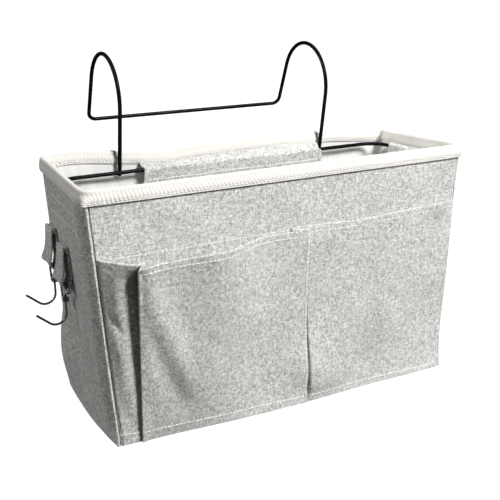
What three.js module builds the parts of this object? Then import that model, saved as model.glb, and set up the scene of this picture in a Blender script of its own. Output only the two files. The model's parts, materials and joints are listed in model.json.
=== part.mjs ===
// Bedside caddy: a sewn cloth box on a wire hoop, hung from a rail by a bent wire hanger.
// Millimetres, +Z up, front towards -Y, origin at the middle of the underside of the base.
import * as THREE from 'three';

// Cloth box, over the outer cloth. It is longer at the rim than at the base.
const RIM_LENGTH = 398;
const RIM_DEPTH = 138;
const BASE_LENGTH = 368;
const BASE_DEPTH = 146;
const HEIGHT = 240;
const FRONT_CORNER = 3;
const BACK_CORNER = 16;
const BASE_CORNER = 3;
const SMALLEST_CORNER = 0.5;
const CORNER_STEPS = 4;

// Sheet thicknesses, and the clearance between pieces that touch.
const CLOTH = 1;
const LINING = 1.2;
const BASE_BOARD = 2;
const BINDING_CLOTH = 0.9;
const BINDING_WIDTH = 13;
const GAP = 0.3;

// Front pockets, measured from the rim, the left seam and the middle of the front.
const POCKET_DROP = 60;
const POCKET_DIVIDER = 11;
const GUSSET_RUN = 27;
const GUSSET_FOLDED = 25;
const PLEAT_DEPTH = 30;
const PLEAT_FRONT = 72;
const PLEAT_RETURN = 47;
const RETURN_LIFT = 10;
const EDGE_LIFT = 7;
const EDGE_FOLD = 3;
const RIGHT_POCKET_GAPE = 10;
const RIGHT_POCKET_STEPS = 8;
const POCKET_ROWS = 6;

// Wire hoop under the rim, and the cloth sleeves that hold it.
const RIM_WIRE = 4;
const RIM_WIRE_DROP = 18.6;
const RIM_WIRE_BEND = 22;
const BUTT_GAP = 0.4;
const SLEEVE_DROP = 47;
const SLEEVE_TUCK = 10;
const FRONT_SLEEVE = 210;
const BACK_SLEEVE_START = -100;
const SIDE_SLEEVE_END = 2;

// Hanger wire: two uprights, arches over the rail, and a bar that joins the back legs.
const HANGER_WIRE = 4;
const LEFT_UPRIGHT = -121;
const RIGHT_UPRIGHT = 111.6;
const HANGER_FOOT = 1;
const HANGER_RISE = 95.5;
const UPRIGHT_LEAN = THREE.MathUtils.degToRad(10);
const ARCH_RADIUS = 44;
const LEG_SPLAY = THREE.MathUtils.degToRad(23);
const BAR_RISE = 20;
const BAR_BEND = 8;

// Two hooks on cloth straps, sewn to the left end.
const STRAP_CLOTH = 1.6;
const STRAP_WIDTH = 22;
const STRAP_LENGTH = 43;
const STRAP_SEAM = 9;
const STRAP_STANDOFF = 10.5;
const STRAP_BELLY = 27;
const FRONT_STRAP_Y = 14;
const STRAP_PITCH = 34;
const FRONT_STRAP_DROP = 68;
const REAR_STRAP_DROP = 59;
const HOOK_WIRE = 2.2;
const RING_SIDE = 3;
const RING_CORNER = 3;
const RING_HEIGHT = 11;
const WRAP_GAP = 0.5;
const WRAP_TURNS = 1.75;
const SHANK_LENGTH = 17;
const HOOK_BEND = 10;
const HOOK_LIFT = THREE.MathUtils.degToRad(40);
const HOOK_REACH = 15;

// Facets of round wires and the step along them.
const WIRE_SIDES = 8;
const HOOK_SIDES = 6;
const WIRE_STEP = 7;
const HOOK_STEP = 1.4;
const ARC_POINTS = 6;

// Layers from the outer cloth inwards.
const LINING_OUT = CLOTH + GAP;
const WALL = LINING_OUT + LINING;
const BINDING_IN = WALL + GAP;
const BINDING_FACE = BINDING_IN + BINDING_CLOTH;
const BINDING_OUT = -GAP - BINDING_CLOTH;
const PANEL_FOOT = CLOTH + GAP;
const PANEL_TOP = HEIGHT - BINDING_CLOTH - GAP;
const BINDING_EDGE = HEIGHT - BINDING_WIDTH;
const POCKET_TOP = HEIGHT - POCKET_DROP;
const RIM_WIRE_HEIGHT = HEIGHT - RIM_WIRE_DROP;
const RIM_WIRE_INSET = BINDING_FACE + GAP + HANGER_WIRE + GAP + RIM_WIRE / 2;

const linen = { color: 0xcbcac6, roughness: 0.92, metalness: 0 };
const pocketLinen = { color: 0xbdbcb8, roughness: 0.92, metalness: 0 };
const coatedCloth = { color: 0xd9d8d4, roughness: 0.5, metalness: 0 };
const twillTape = { color: 0xe6e2d8, roughness: 0.85, metalness: 0 };
const boardStock = { color: 0x9a958c, roughness: 0.8, metalness: 0 };
const blackCoat = { color: 0x0c0c0d, roughness: 0.25, metalness: 0.3 };
const brightSteel = { color: 0x8d8c8a, roughness: 0.25, metalness: 1 };

const caddy = new THREE.Group();

function addPiece(name, geometry, finish, holder = caddy) {
  const piece = new THREE.Mesh(geometry, new THREE.MeshStandardMaterial(finish));
  piece.name = name;
  holder.add(piece);
  return piece;
}

// Plan outline of the box at a height, drawn in from the outer cloth by an inset.
function section(z, inset) {
  const t = z / HEIGHT;
  const corner = (rim) => Math.max(THREE.MathUtils.lerp(BASE_CORNER, rim, t) - inset, SMALLEST_CORNER);
  return {
    z,
    halfX: THREE.MathUtils.lerp(BASE_LENGTH, RIM_LENGTH, t) / 2 - inset,
    halfY: THREE.MathUtils.lerp(BASE_DEPTH, RIM_DEPTH, t) / 2 - inset,
    front: corner(FRONT_CORNER),
    back: corner(BACK_CORNER),
  };
}

// One rounded corner of an outline, from the front or back face round to the end face.
function cornerArc(outline, sideX, sideY) {
  const radius = sideY < 0 ? outline.front : outline.back;
  const points = [];
  for (let i = 0; i <= CORNER_STEPS; i += 1) {
    const turn = (Math.PI / 2) * (i / CORNER_STEPS);
    const x = sideX * (outline.halfX - radius + radius * Math.sin(turn));
    const y = sideY * (outline.halfY - radius + radius * Math.cos(turn));
    points.push(new THREE.Vector3(x, y, outline.z));
  }
  return points;
}

function endPath(outline, sideX) {
  return [...cornerArc(outline, sideX, -1), ...cornerArc(outline, sideX, 1).reverse()];
}

function facePath(outline, sideY) {
  const radius = sideY < 0 ? outline.front : outline.back;
  const half = outline.halfX - radius - GAP;
  const y = sideY * outline.halfY;
  return [new THREE.Vector3(-half, y, outline.z), new THREE.Vector3(half, y, outline.z)];
}

function loopPath(outline) {
  return [...endPath(outline, 1), ...endPath(outline, -1).reverse()];
}

// Closed skin over a row of like rings, which go up one face of a sheet and down the other.
// Facing sides are split along the same diagonal, so that a twisted sheet keeps its thickness.
function loft(rings, closed = false) {
  const count = rings[0].length;
  const positions = rings.flat().flatMap((point) => [point.x, point.y, point.z]);
  const triangles = [];
  const spans = closed ? rings.length : rings.length - 1;
  for (let i = 0; i < spans; i += 1) {
    const here = i * count;
    const next = ((i + 1) % rings.length) * count;
    for (let j = 0; j < count; j += 1) {
      const k = (j + 1) % count;
      if (j < count / 2) {
        triangles.push([here + j, next + j, next + k], [here + j, next + k, here + k]);
      } else {
        triangles.push([here + j, next + j, here + k], [next + j, next + k, here + k]);
      }
    }
  }
  if (!closed) {
    const last = (rings.length - 1) * count;
    for (let j = 0; j < count / 2 - 1; j += 1) {
      const [a, b, c, d] = [j, j + 1, count - 2 - j, count - 1 - j];
      triangles.push([a, b, c], [a, c, d]);
      triangles.push([last + a, last + c, last + b], [last + a, last + d, last + c]);
    }
  }
  const corner = (index) => new THREE.Vector3().fromArray(positions, index * 3);
  const volume = triangles.reduce((sum, [a, b, c]) => sum + corner(a).dot(corner(b).cross(corner(c))), 0);
  const facing = volume > 0 ? triangles : triangles.map(([a, b, c]) => [a, c, b]);
  const geometry = new THREE.BufferGeometry();
  geometry.setAttribute('position', new THREE.Float32BufferAttribute(positions, 3));
  geometry.setIndex(facing.flat());
  geometry.computeVertexNormals();
  return geometry;
}

// A wall sheet between two insets, following the same path at its foot and at its top.
function wallSheet(pathOf, side, outer, inner) {
  const outerFoot = pathOf(section(PANEL_FOOT, outer), side);
  const outerTop = pathOf(section(PANEL_TOP, outer), side);
  const innerTop = pathOf(section(PANEL_TOP, inner), side);
  const innerFoot = pathOf(section(PANEL_FOOT, inner), side);
  return loft(outerFoot.map((point, i) => [point, outerTop[i], innerTop[i], innerFoot[i]]));
}

function floorSheet(z, thickness, inset) {
  const points = loopPath(section(z, inset)).map((point) => new THREE.Vector2(point.x, point.y));
  const options = { depth: thickness, bevelEnabled: false };
  return new THREE.ExtrudeGeometry(new THREE.Shape(points), options).translate(0, 0, z);
}

// Cloth panels, with a coated lining sheet behind each wall. The end panels wrap round the corners.
addPiece('front_panel', wallSheet(facePath, -1, 0, CLOTH), linen);
addPiece('back_panel', wallSheet(facePath, 1, 0, CLOTH), linen);
addPiece('left_panel', wallSheet(endPath, -1, 0, CLOTH), linen);
addPiece('right_panel', wallSheet(endPath, 1, 0, CLOTH), linen);
addPiece('front_lining', wallSheet(facePath, -1, LINING_OUT, WALL), coatedCloth);
addPiece('back_lining', wallSheet(facePath, 1, LINING_OUT, WALL), coatedCloth);
addPiece('left_lining', wallSheet(endPath, -1, LINING_OUT, WALL), coatedCloth);
addPiece('right_lining', wallSheet(endPath, 1, LINING_OUT, WALL), coatedCloth);

// Base: outer cloth, a stiff board on it, and the lining over the board.
const boardFoot = PANEL_FOOT;
const floorFoot = boardFoot + BASE_BOARD + GAP;
addPiece('bottom_panel', floorSheet(0, CLOTH, 0), linen);
addPiece('base_board', floorSheet(boardFoot, BASE_BOARD, WALL + GAP), boardStock);
addPiece('bottom_lining', floorSheet(floorFoot, LINING, WALL + GAP), coatedCloth);

// Binding tape, folded over the rim all round as an inverted U.
function bindingTape() {
  const profile = [
    section(BINDING_EDGE, BINDING_OUT),
    section(HEIGHT, BINDING_OUT),
    section(HEIGHT, BINDING_FACE),
    section(BINDING_EDGE, BINDING_FACE),
    section(BINDING_EDGE, BINDING_IN),
    section(HEIGHT - BINDING_CLOTH, BINDING_IN),
    section(HEIGHT - BINDING_CLOTH, -GAP),
    section(BINDING_EDGE, -GAP),
  ];
  const loops = profile.map((outline) => loopPath(outline));
  return loft(loops[0].map((_, i) => loops.map((loop) => loop[i])), true);
}
addPiece('rim_binding', bindingTape(), twillTape);

// A plan line moved sideways by a distance, with mitred corners.
function offsetLine(points, distance) {
  const normals = points.slice(1).map((point, i) => {
    const along = point.clone().sub(points[i]).setZ(0).normalize();
    return new THREE.Vector3(-along.y, along.x, 0);
  });
  return points.map((point, i) => {
    const before = normals[Math.max(i - 1, 0)];
    const after = normals[Math.min(i, normals.length - 1)];
    const mitre = before.clone().add(after).normalize();
    return point.clone().addScaledVector(mitre, distance / mitre.dot(after));
  });
}

// A pocket wall from stations [x at the foot, x at the hem, how far the hem stands off the front].
function pocketWall(stations) {
  const foot = section(PANEL_FOOT, 0);
  const hem = section(POCKET_TOP, 0);
  const flat = GAP + CLOTH;
  const outerFoot = stations.map(([x]) => new THREE.Vector3(x, -foot.halfY - flat, foot.z));
  const outerHem = stations.map(([, x, lift]) => new THREE.Vector3(x, -hem.halfY - flat - lift, hem.z));
  const innerFoot = offsetLine(outerFoot, CLOTH);
  const innerHem = offsetLine(outerHem, CLOTH);
  const rows = Array.from({ length: POCKET_ROWS + 1 }, (_, i) => i / POCKET_ROWS);
  const rise = (feet, hems, i) => rows.map((t) => feet[i].clone().lerp(hems[i], t));
  return loft(stations.map((_, i) => [
    ...rise(outerFoot, outerHem, i),
    ...rise(innerFoot, innerHem, i).reverse(),
  ]));
}

// The left pocket is pleated: a gusset runs out to a fold, and the front returns to the divider seam.
function leftPocket() {
  const footSeam = facePath(section(PANEL_FOOT, 0), -1)[0].x;
  const hemSeam = facePath(section(POCKET_TOP, 0), -1)[0].x;
  const fold = hemSeam + GUSSET_RUN;
  const frontEnd = fold + PLEAT_FRONT;
  const returnEnd = POCKET_DIVIDER - PLEAT_RETURN;
  const edge = POCKET_DIVIDER - EDGE_FOLD;
  return pocketWall([
    [footSeam, hemSeam, 0],
    [footSeam + GUSSET_FOLDED, fold, PLEAT_DEPTH],
    [frontEnd, frontEnd, PLEAT_DEPTH],
    [returnEnd, returnEnd, RETURN_LIFT],
    [edge, edge, EDGE_LIFT],
    [POCKET_DIVIDER, POCKET_DIVIDER, 0],
  ]);
}

// The right pocket lies almost flat, with its hem gaping a little in the middle.
function rightPocket() {
  const start = POCKET_DIVIDER + CLOTH + GAP;
  const footSeam = facePath(section(PANEL_FOOT, 0), -1)[1].x;
  const hemSeam = facePath(section(POCKET_TOP, 0), -1)[1].x;
  const stations = [];
  for (let i = 0; i <= RIGHT_POCKET_STEPS; i += 1) {
    const t = i / RIGHT_POCKET_STEPS;
    const footX = THREE.MathUtils.lerp(start, footSeam, t);
    const hemX = THREE.MathUtils.lerp(start, hemSeam, t);
    stations.push([footX, hemX, RIGHT_POCKET_GAPE * Math.sin(Math.PI * t)]);
  }
  return pocketWall(stations);
}
addPiece('left_pocket', leftPocket(), pocketLinen);
addPiece('right_pocket', rightPocket(), pocketLinen);

// A circular arc from one arm of a centre towards the other. Each arm is as long as the radius.
class Arc extends THREE.Curve {
  constructor(centre, startArm, sideArm, sweep) {
    super();
    this.centre = centre;
    this.startArm = startArm;
    this.sideArm = sideArm;
    this.sweep = sweep;
  }

  getPoint(t, target = new THREE.Vector3()) {
    const turn = this.sweep * t;
    target.copy(this.centre);
    target.addScaledVector(this.startArm, Math.cos(turn));
    return target.addScaledVector(this.sideArm, Math.sin(turn));
  }
}

// Straight runs and arcs joined end to end.
class WirePath extends THREE.CurvePath {
  constructor(start) {
    super();
    this.end = start;
  }

  straightTo(point) {
    this.add(new THREE.LineCurve3(this.end, point));
    this.end = point;
  }

  arc(curve) {
    this.add(curve);
    this.end = curve.getPoint(1);
  }

  squareBend(corner, into, outOf, radius) {
    const startArm = outOf.clone().multiplyScalar(-radius);
    const sideArm = into.clone().multiplyScalar(radius);
    const centre = corner.clone().sub(sideArm).sub(startArm);
    this.straightTo(corner.clone().sub(sideArm));
    this.arc(new Arc(centre, startArm, sideArm, Math.PI / 2));
  }
}

function roundWire(path, diameter, sides, step) {
  const outline = [];
  for (let i = 0; i < sides; i += 1) {
    const turn = (2 * Math.PI * i) / sides;
    outline.push(new THREE.Vector2(Math.cos(turn), Math.sin(turn)).multiplyScalar(diameter / 2));
  }
  const steps = Math.ceil(path.getLength() / step);
  const options = { steps, bevelEnabled: false, extrudePath: path };
  return new THREE.ExtrudeGeometry(new THREE.Shape(outline), options);
}

const right = new THREE.Vector3(1, 0, 0);
const left = new THREE.Vector3(-1, 0, 0);
const back = new THREE.Vector3(0, 1, 0);
const front = new THREE.Vector3(0, -1, 0);

// Wire hoop. Its ends butt together in the middle of the front, inside the front sleeve.
const hoop = section(RIM_WIRE_HEIGHT, RIM_WIRE_INSET);
function hoopPoint(x, y) {
  return new THREE.Vector3(x, y, hoop.z);
}
function hoopPath() {
  const path = new WirePath(hoopPoint(BUTT_GAP / 2, -hoop.halfY));
  path.squareBend(hoopPoint(hoop.halfX, -hoop.halfY), right, back, RIM_WIRE_BEND);
  path.squareBend(hoopPoint(hoop.halfX, hoop.halfY), back, left, RIM_WIRE_BEND);
  path.squareBend(hoopPoint(-hoop.halfX, hoop.halfY), left, front, RIM_WIRE_BEND);
  path.squareBend(hoopPoint(-hoop.halfX, -hoop.halfY), front, right, RIM_WIRE_BEND);
  path.straightTo(hoopPoint(-BUTT_GAP / 2, -hoop.halfY));
  return path;
}
addPiece('rim_wire', roundWire(hoopPath(), RIM_WIRE, WIRE_SIDES, WIRE_STEP), blackCoat);

// Hanger. Its feet are welded to the back run of the hoop, on the side towards the back wall.
function hangerPath() {
  const lean = UPRIGHT_LEAN;
  const splay = LEG_SPLAY;
  const weldY = hoop.halfY + ((RIM_WIRE + HANGER_WIRE) / 2 + GAP) / Math.cos(lean);
  const footZ = RIM_WIRE_HEIGHT - RIM_WIRE / 2 - HANGER_FOOT;
  const footY = weldY + (RIM_WIRE_HEIGHT - footZ) * Math.tan(lean);
  const archZ = HEIGHT + HANGER_RISE - HANGER_WIRE / 2 - ARCH_RADIUS;
  const rise = (archZ - footZ - ARCH_RADIUS * Math.sin(lean)) / Math.cos(lean);
  const archY = footY - rise * Math.sin(lean) + ARCH_RADIUS * Math.cos(lean);
  const legDrop = archZ + ARCH_RADIUS * Math.sin(splay) - HEIGHT - BAR_RISE;
  const barY = archY + ARCH_RADIUS * Math.cos(splay) + legDrop * Math.tan(splay);
  const arm = (turn) => new THREE.Vector3(0, Math.cos(turn), Math.sin(turn)).multiplyScalar(ARCH_RADIUS);
  const sweep = Math.PI + lean - splay;
  const legDown = new THREE.Vector3(0, Math.sin(splay), -Math.cos(splay));
  const legUp = legDown.clone().negate();

  const path = new WirePath(new THREE.Vector3(LEFT_UPRIGHT, footY, footZ));
  const leftArch = new THREE.Vector3(LEFT_UPRIGHT, archY, archZ);
  const rightArch = new THREE.Vector3(RIGHT_UPRIGHT, archY, archZ);
  path.straightTo(leftArch.clone().add(arm(Math.PI + lean)));
  path.arc(new Arc(leftArch, arm(Math.PI + lean), arm(Math.PI / 2 + lean), sweep));
  path.squareBend(new THREE.Vector3(LEFT_UPRIGHT, barY, HEIGHT + BAR_RISE), legDown, right, BAR_BEND);
  path.squareBend(new THREE.Vector3(RIGHT_UPRIGHT, barY, HEIGHT + BAR_RISE), right, legUp, BAR_BEND);
  path.straightTo(rightArch.clone().add(arm(splay)));
  path.arc(new Arc(rightArch, arm(splay), arm(Math.PI / 2 + splay), sweep));
  path.straightTo(new THREE.Vector3(RIGHT_UPRIGHT, footY, footZ));
  return path;
}
addPiece('hanger_wire', roundWire(hangerPath(), HANGER_WIRE, WIRE_SIDES, WIRE_STEP), blackCoat);

// A group lying on a wall at the base: its X points away from the wall and its Y up along it.
function wallGroup(point, away, lean) {
  const up = new THREE.Vector3(0, 0, 1).addScaledVector(away, lean).normalize();
  const along = away.clone().cross(up).normalize();
  const group = new THREE.Group();
  group.applyMatrix4(new THREE.Matrix4().makeBasis(along.clone().cross(up).negate(), up, along));
  group.position.copy(point);
  group.updateMatrixWorld();
  caddy.add(group);
  return group;
}

// A sleeve patch: caught under the binding, passed round the hoop, and sewn flat to the wall below it.
function sleeve(name, away, start, length) {
  const alongX = away.x === 0;
  const foot = section(0, WALL);
  const rim = section(HEIGHT, WALL);
  const half = alongX ? foot.halfY : foot.halfX;
  const lean = (half - (alongX ? rim.halfY : rim.halfX)) / HEIGHT;
  const group = wallGroup(away.clone().multiplyScalar(-half), away, lean);
  const wireInset = alongX ? hoop.halfY : hoop.halfX;
  const wire = group.worldToLocal(away.clone().multiplyScalar(-wireInset).setZ(RIM_WIRE_HEIGHT));
  const stretch = Math.hypot(1, lean);
  const top = (BINDING_EDGE - GAP) * stretch;
  const bottom = (HEIGHT - SLEEVE_DROP) * stretch;
  const inner = RIM_WIRE / 2 + GAP;
  const outer = inner + CLOTH;
  const tuck = wire.y - SLEEVE_TUCK;
  const shape = new THREE.Shape();
  shape.moveTo(GAP, top);
  shape.lineTo(wire.x, wire.y + outer);
  shape.absarc(wire.x, wire.y, outer, Math.PI / 2, -Math.PI / 2, true);
  shape.lineTo(GAP + CLOTH, tuck - CLOTH);
  shape.lineTo(GAP + CLOTH, bottom);
  shape.lineTo(GAP, bottom);
  shape.lineTo(GAP, tuck);
  shape.lineTo(wire.x, wire.y - inner);
  shape.absarc(wire.x, wire.y, inner, -Math.PI / 2, Math.PI / 2, false);
  shape.lineTo(GAP, top - CLOTH);
  const options = { depth: length, bevelEnabled: false, curveSegments: CORNER_STEPS };
  addPiece(name, new THREE.ExtrudeGeometry(shape, options).translate(0, 0, start), linen, group);
}
const backSleeveEnd = RIGHT_UPRIGHT - HANGER_WIRE / 2 - CLOTH;
sleeve('front_sleeve', back, -FRONT_SLEEVE / 2, FRONT_SLEEVE);
sleeve('back_sleeve', front, -backSleeveEnd, backSleeveEnd - BACK_SLEEVE_START);
const sideSleeve = 2 * (hoop.halfY - RIM_WIRE_BEND - SIDE_SLEEVE_END);
sleeve('left_sleeve', right, -sideSleeve / 2, sideSleeve);
sleeve('right_sleeve', left, -sideSleeve / 2, sideSleeve);

// A strap: sewn flat at its top, bellied out below, and folded round the hook's ring at its foot.
function strapProfile(top, ringX, ringZ) {
  const seam = top - STRAP_SEAM;
  const belly = top - STRAP_BELLY;
  const innerFold = HOOK_WIRE / 2 + GAP;
  const outerFold = innerFold + STRAP_CLOTH;
  const doubled = GAP + 2 * STRAP_CLOTH;
  const shape = new THREE.Shape();
  shape.moveTo(GAP, top);
  shape.lineTo(ringX - outerFold, ringZ);
  shape.absarc(ringX, ringZ, outerFold, Math.PI, 2 * Math.PI, false);
  shape.quadraticCurveTo(STRAP_STANDOFF, (ringZ + belly) / 2, STRAP_STANDOFF, belly);
  shape.quadraticCurveTo(STRAP_STANDOFF, (belly + seam) / 2, doubled, seam);
  shape.lineTo(doubled, top);
  const loop = new THREE.Path();
  const inside = STRAP_STANDOFF - STRAP_CLOTH;
  loop.moveTo(GAP + STRAP_CLOTH, seam - STRAP_CLOTH);
  loop.lineTo(ringX - innerFold, ringZ);
  loop.absarc(ringX, ringZ, innerFold, Math.PI, 2 * Math.PI, false);
  loop.quadraticCurveTo(inside, (ringZ + belly) / 2, inside, belly);
  loop.quadraticCurveTo(inside, (belly + seam) / 2, GAP + STRAP_CLOTH, seam - STRAP_CLOTH);
  shape.holes.push(loop);
  return shape;
}

// Centre line of a hook about its ring's top bar: tip, bend, shank, ring, then wrapped round the shank.
function hookPoints() {
  const points = [];
  const shankEnd = -RING_HEIGHT - SHANK_LENGTH;
  const tipTurn = Math.PI / 2 + HOOK_LIFT;
  const bendPoint = (turn) => new THREE.Vector3(
    HOOK_BEND * (Math.cos(turn) - 1),
    0,
    shankEnd - HOOK_BEND * Math.sin(turn),
  );
  const tipWay = new THREE.Vector3(-Math.sin(tipTurn), 0, -Math.cos(tipTurn));
  points.push(bendPoint(tipTurn).addScaledVector(tipWay, HOOK_REACH));
  points.push(bendPoint(tipTurn).addScaledVector(tipWay, HOOK_REACH / 2));
  for (let i = ARC_POINTS; i >= 0; i -= 1) {
    points.push(bendPoint(tipTurn * (i / ARC_POINTS)));
  }
  points.push(new THREE.Vector3(0, 0, -RING_HEIGHT - SHANK_LENGTH / 2));
  points.push(new THREE.Vector3(0, 0, -RING_HEIGHT));
  const ringEnd = STRAP_WIDTH / 2 + RING_SIDE - RING_CORNER;
  for (const side of [-1, 1]) {
    for (let i = 0; i <= ARC_POINTS; i += 1) {
      const turn = (Math.PI / 2) * (side < 0 ? 1 - i / ARC_POINTS : i / ARC_POINTS);
      const y = side * (ringEnd + RING_CORNER * Math.sin(turn));
      points.push(new THREE.Vector3(0, y, RING_CORNER * (Math.cos(turn) - 1)));
    }
  }
  const wrap = HOOK_WIRE + WRAP_GAP;
  const turnPoints = 2 * ARC_POINTS;
  for (let i = 0; i <= WRAP_TURNS * turnPoints; i += 1) {
    const turn = (2 * Math.PI * i) / turnPoints;
    const z = -RING_HEIGHT - HOOK_WIRE / 2 - (wrap * i) / turnPoints;
    points.push(new THREE.Vector3(-wrap * Math.cos(turn), -wrap * Math.sin(turn), z));
  }
  return points;
}

// A strap hangs plumb where the wall falls away below it, and lies along the wall where it slopes out.
// Its fold keeps the wire wrapped round the hook's shank clear of the wall.
function strapAndHook(name, y, drop) {
  const top = HEIGHT - drop;
  const wallLean = (RIM_LENGTH - BASE_LENGTH) / 2 / HEIGHT;
  const lean = Math.min(wallLean, 0);
  const ringZ = top - STRAP_LENGTH + STRAP_CLOTH + GAP + HOOK_WIRE / 2;
  const wallFall = (wallLean - lean) * (top - ringZ + RING_HEIGHT);
  const wrapRadius = HOOK_WIRE + WRAP_GAP + HOOK_WIRE / 2;
  const ringX = Math.max(2 * GAP + STRAP_CLOTH + HOOK_WIRE / 2, GAP + wrapRadius - wallFall);
  const group = wallGroup(new THREE.Vector3(lean * top - section(top, 0).halfX, y, 0), left, lean);
  const options = { depth: STRAP_WIDTH, bevelEnabled: false, curveSegments: CORNER_STEPS };
  const strap = new THREE.ExtrudeGeometry(strapProfile(top, ringX, ringZ), options);
  addPiece(`${name}_strap`, strap.translate(0, 0, -STRAP_WIDTH / 2), linen, group);
  const path = new THREE.CatmullRomCurve3(hookPoints(), false, 'centripetal');
  const hook = addPiece(`${name}_hook`, roundWire(path, HOOK_WIRE, HOOK_SIDES, HOOK_STEP), brightSteel);
  hook.position.copy(group.localToWorld(new THREE.Vector3(ringX, ringZ, 0)));
  hook.rotation.y = -Math.atan(lean);
}
strapAndHook('front', FRONT_STRAP_Y, FRONT_STRAP_DROP);
strapAndHook('rear', FRONT_STRAP_Y + STRAP_PITCH, REAR_STRAP_DROP);

export default caddy;
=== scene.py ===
import json
import math

import bpy
import numpy as np
from mathutils import Matrix, Vector


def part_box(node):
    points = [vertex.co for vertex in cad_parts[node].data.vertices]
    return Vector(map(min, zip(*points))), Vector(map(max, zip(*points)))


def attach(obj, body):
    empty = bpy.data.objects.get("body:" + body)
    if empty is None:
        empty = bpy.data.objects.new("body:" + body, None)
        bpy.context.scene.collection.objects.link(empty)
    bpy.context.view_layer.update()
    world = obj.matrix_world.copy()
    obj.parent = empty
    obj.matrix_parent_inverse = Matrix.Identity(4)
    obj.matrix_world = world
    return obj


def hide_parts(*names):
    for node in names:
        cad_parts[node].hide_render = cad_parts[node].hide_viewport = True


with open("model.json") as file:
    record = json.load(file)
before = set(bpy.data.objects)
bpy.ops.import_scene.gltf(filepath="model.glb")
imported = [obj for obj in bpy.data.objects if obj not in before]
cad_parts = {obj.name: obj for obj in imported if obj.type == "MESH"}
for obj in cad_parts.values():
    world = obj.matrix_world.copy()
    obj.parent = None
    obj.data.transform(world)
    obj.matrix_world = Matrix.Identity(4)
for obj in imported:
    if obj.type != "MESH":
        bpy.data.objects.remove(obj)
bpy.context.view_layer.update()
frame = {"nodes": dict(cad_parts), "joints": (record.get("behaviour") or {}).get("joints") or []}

# Cloth walls: four panels of coarse canvas in grey and off-white yarns. The front and back are cut wider at
# the rim than at the foot. The ends wrap round the upright corners to turned-in seams. All four hang from
# the wire hoop, so they hollow beside the seams and belly at the foot.
MM = 0.001
BASE_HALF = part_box("bottom_panel")[1]
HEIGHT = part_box("rim_binding")[1].z
RIM_HALF_LENGTH = 199 * MM
RIM_HALF_DEPTH = 69 * MM
FRONT_CORNER = 3 * MM
RIM_CORNER = 16 * MM
BACK_CORNER = 10 * MM
SMALLEST_CORNER = 0.5 * MM
FOOT_SPREAD = -2 * MM
FOOT_FULL = 6
CLOTH = 1 * MM
WALL_FOOT = 1.2 * MM
WALL_TOP = 238.6 * MM
SEAM_RIDGE = 1.6 * MM
LEFT_SEAM_DIP = 6 * MM
YARN = 0.8 * MM
DARK_YARN = (0.235, 0.23, 0.218, 1)
LIGHT_YARN = (0.885, 0.88, 0.855, 1)
RIM_LENGTH = 2 * RIM_HALF_LENGTH
RIM_LIFT_FROM = 0.62
WALL_STEP = 2.2 * MM
EDGE = np.array([0, 0.06, 0.2, 0.45, 0.8, 1.4]) * MM
EDGE_MARGIN = 2 * MM
SEAM_PLACES = np.linspace(0.5, 2.3, 13) * MM
CORNER_PLACES = np.linspace(0, 1, 9)


def smooth(start, end, value):
    t = np.clip((value - start) / (end - start), 0, 1)
    return t * t * (3 - 2 * t)


def hump(value, middle, width):
    return np.exp(-(((value - middle) / width) ** 2))


def half_depth(z):
    return BASE_HALF.y + (RIM_HALF_DEPTH - BASE_HALF.y) * z / HEIGHT


def half_length(z):
    return BASE_HALF.x + (RIM_HALF_LENGTH - BASE_HALF.x) * z / HEIGHT


def right_end(z):
    """X of the right end, which draws in a little at the foot."""
    return half_length(z) + FOOT_SPREAD * np.exp(-z / (45 * MM))


def front_corner(z):
    """Radius of the front left corner: sharp at the seam, and eased round the hoop under the binding."""
    return FRONT_CORNER + (RIM_CORNER - FRONT_CORNER) * smooth(226 * MM, 237 * MM, z)


def rim_lift(x, y):
    """How far the soft rim stands above or below its flat height: the back left corner is pulled up."""
    back = 7 * hump(x, -172 * MM, 48 * MM) - 2 * hump(x, -72 * MM, 30 * MM)
    back = back + 1.2 * hump(x, 20 * MM, 45 * MM) - 5 * smooth(120 * MM, 192 * MM, x)
    return back * MM * smooth(-RIM_HALF_DEPTH, RIM_HALF_DEPTH, y)


def end_give(x, y, z):
    """Give of an end wall: a hollow behind the front seam, a belly low at the back and a slanting crease."""
    from_front = y + half_depth(z)
    held = smooth(0, 30 * MM, z) * smooth(238 * MM, 216 * MM, z)
    left = x < 0
    hollow = np.where(left, -5.0, -1.0) * hump(from_front, 5 * MM, 6 * MM) * smooth(0, 3 * MM, from_front)
    hollow = hollow + np.where(left, 3.4, 0.5) * hump(from_front, 21 * MM, 9 * MM)
    hollow = hollow * held
    belly = np.where(left, 6.5, 3.0) * hump(y, 55 * MM, 32 * MM) * hump(z, 40 * MM, 34 * MM)
    crease_height = 69 * MM + (y - 66 * MM) * 0.59
    above = smooth(crease_height - 3 * MM, crease_height + 22 * MM, z)
    crease = np.where(left, -2.4, -0.8) * above * hump(z, crease_height + 20 * MM, 34 * MM)
    slack = -0.8 * hump(y, 5 * MM, 38 * MM) * hump(z, 130 * MM, 60 * MM)
    bow = np.where(left, 4.4, 1.0) * hump(y, -2 * MM, 55 * MM) * np.exp(-z / (55 * MM))
    return (hollow + belly + crease + slack + bow) * MM


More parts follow.
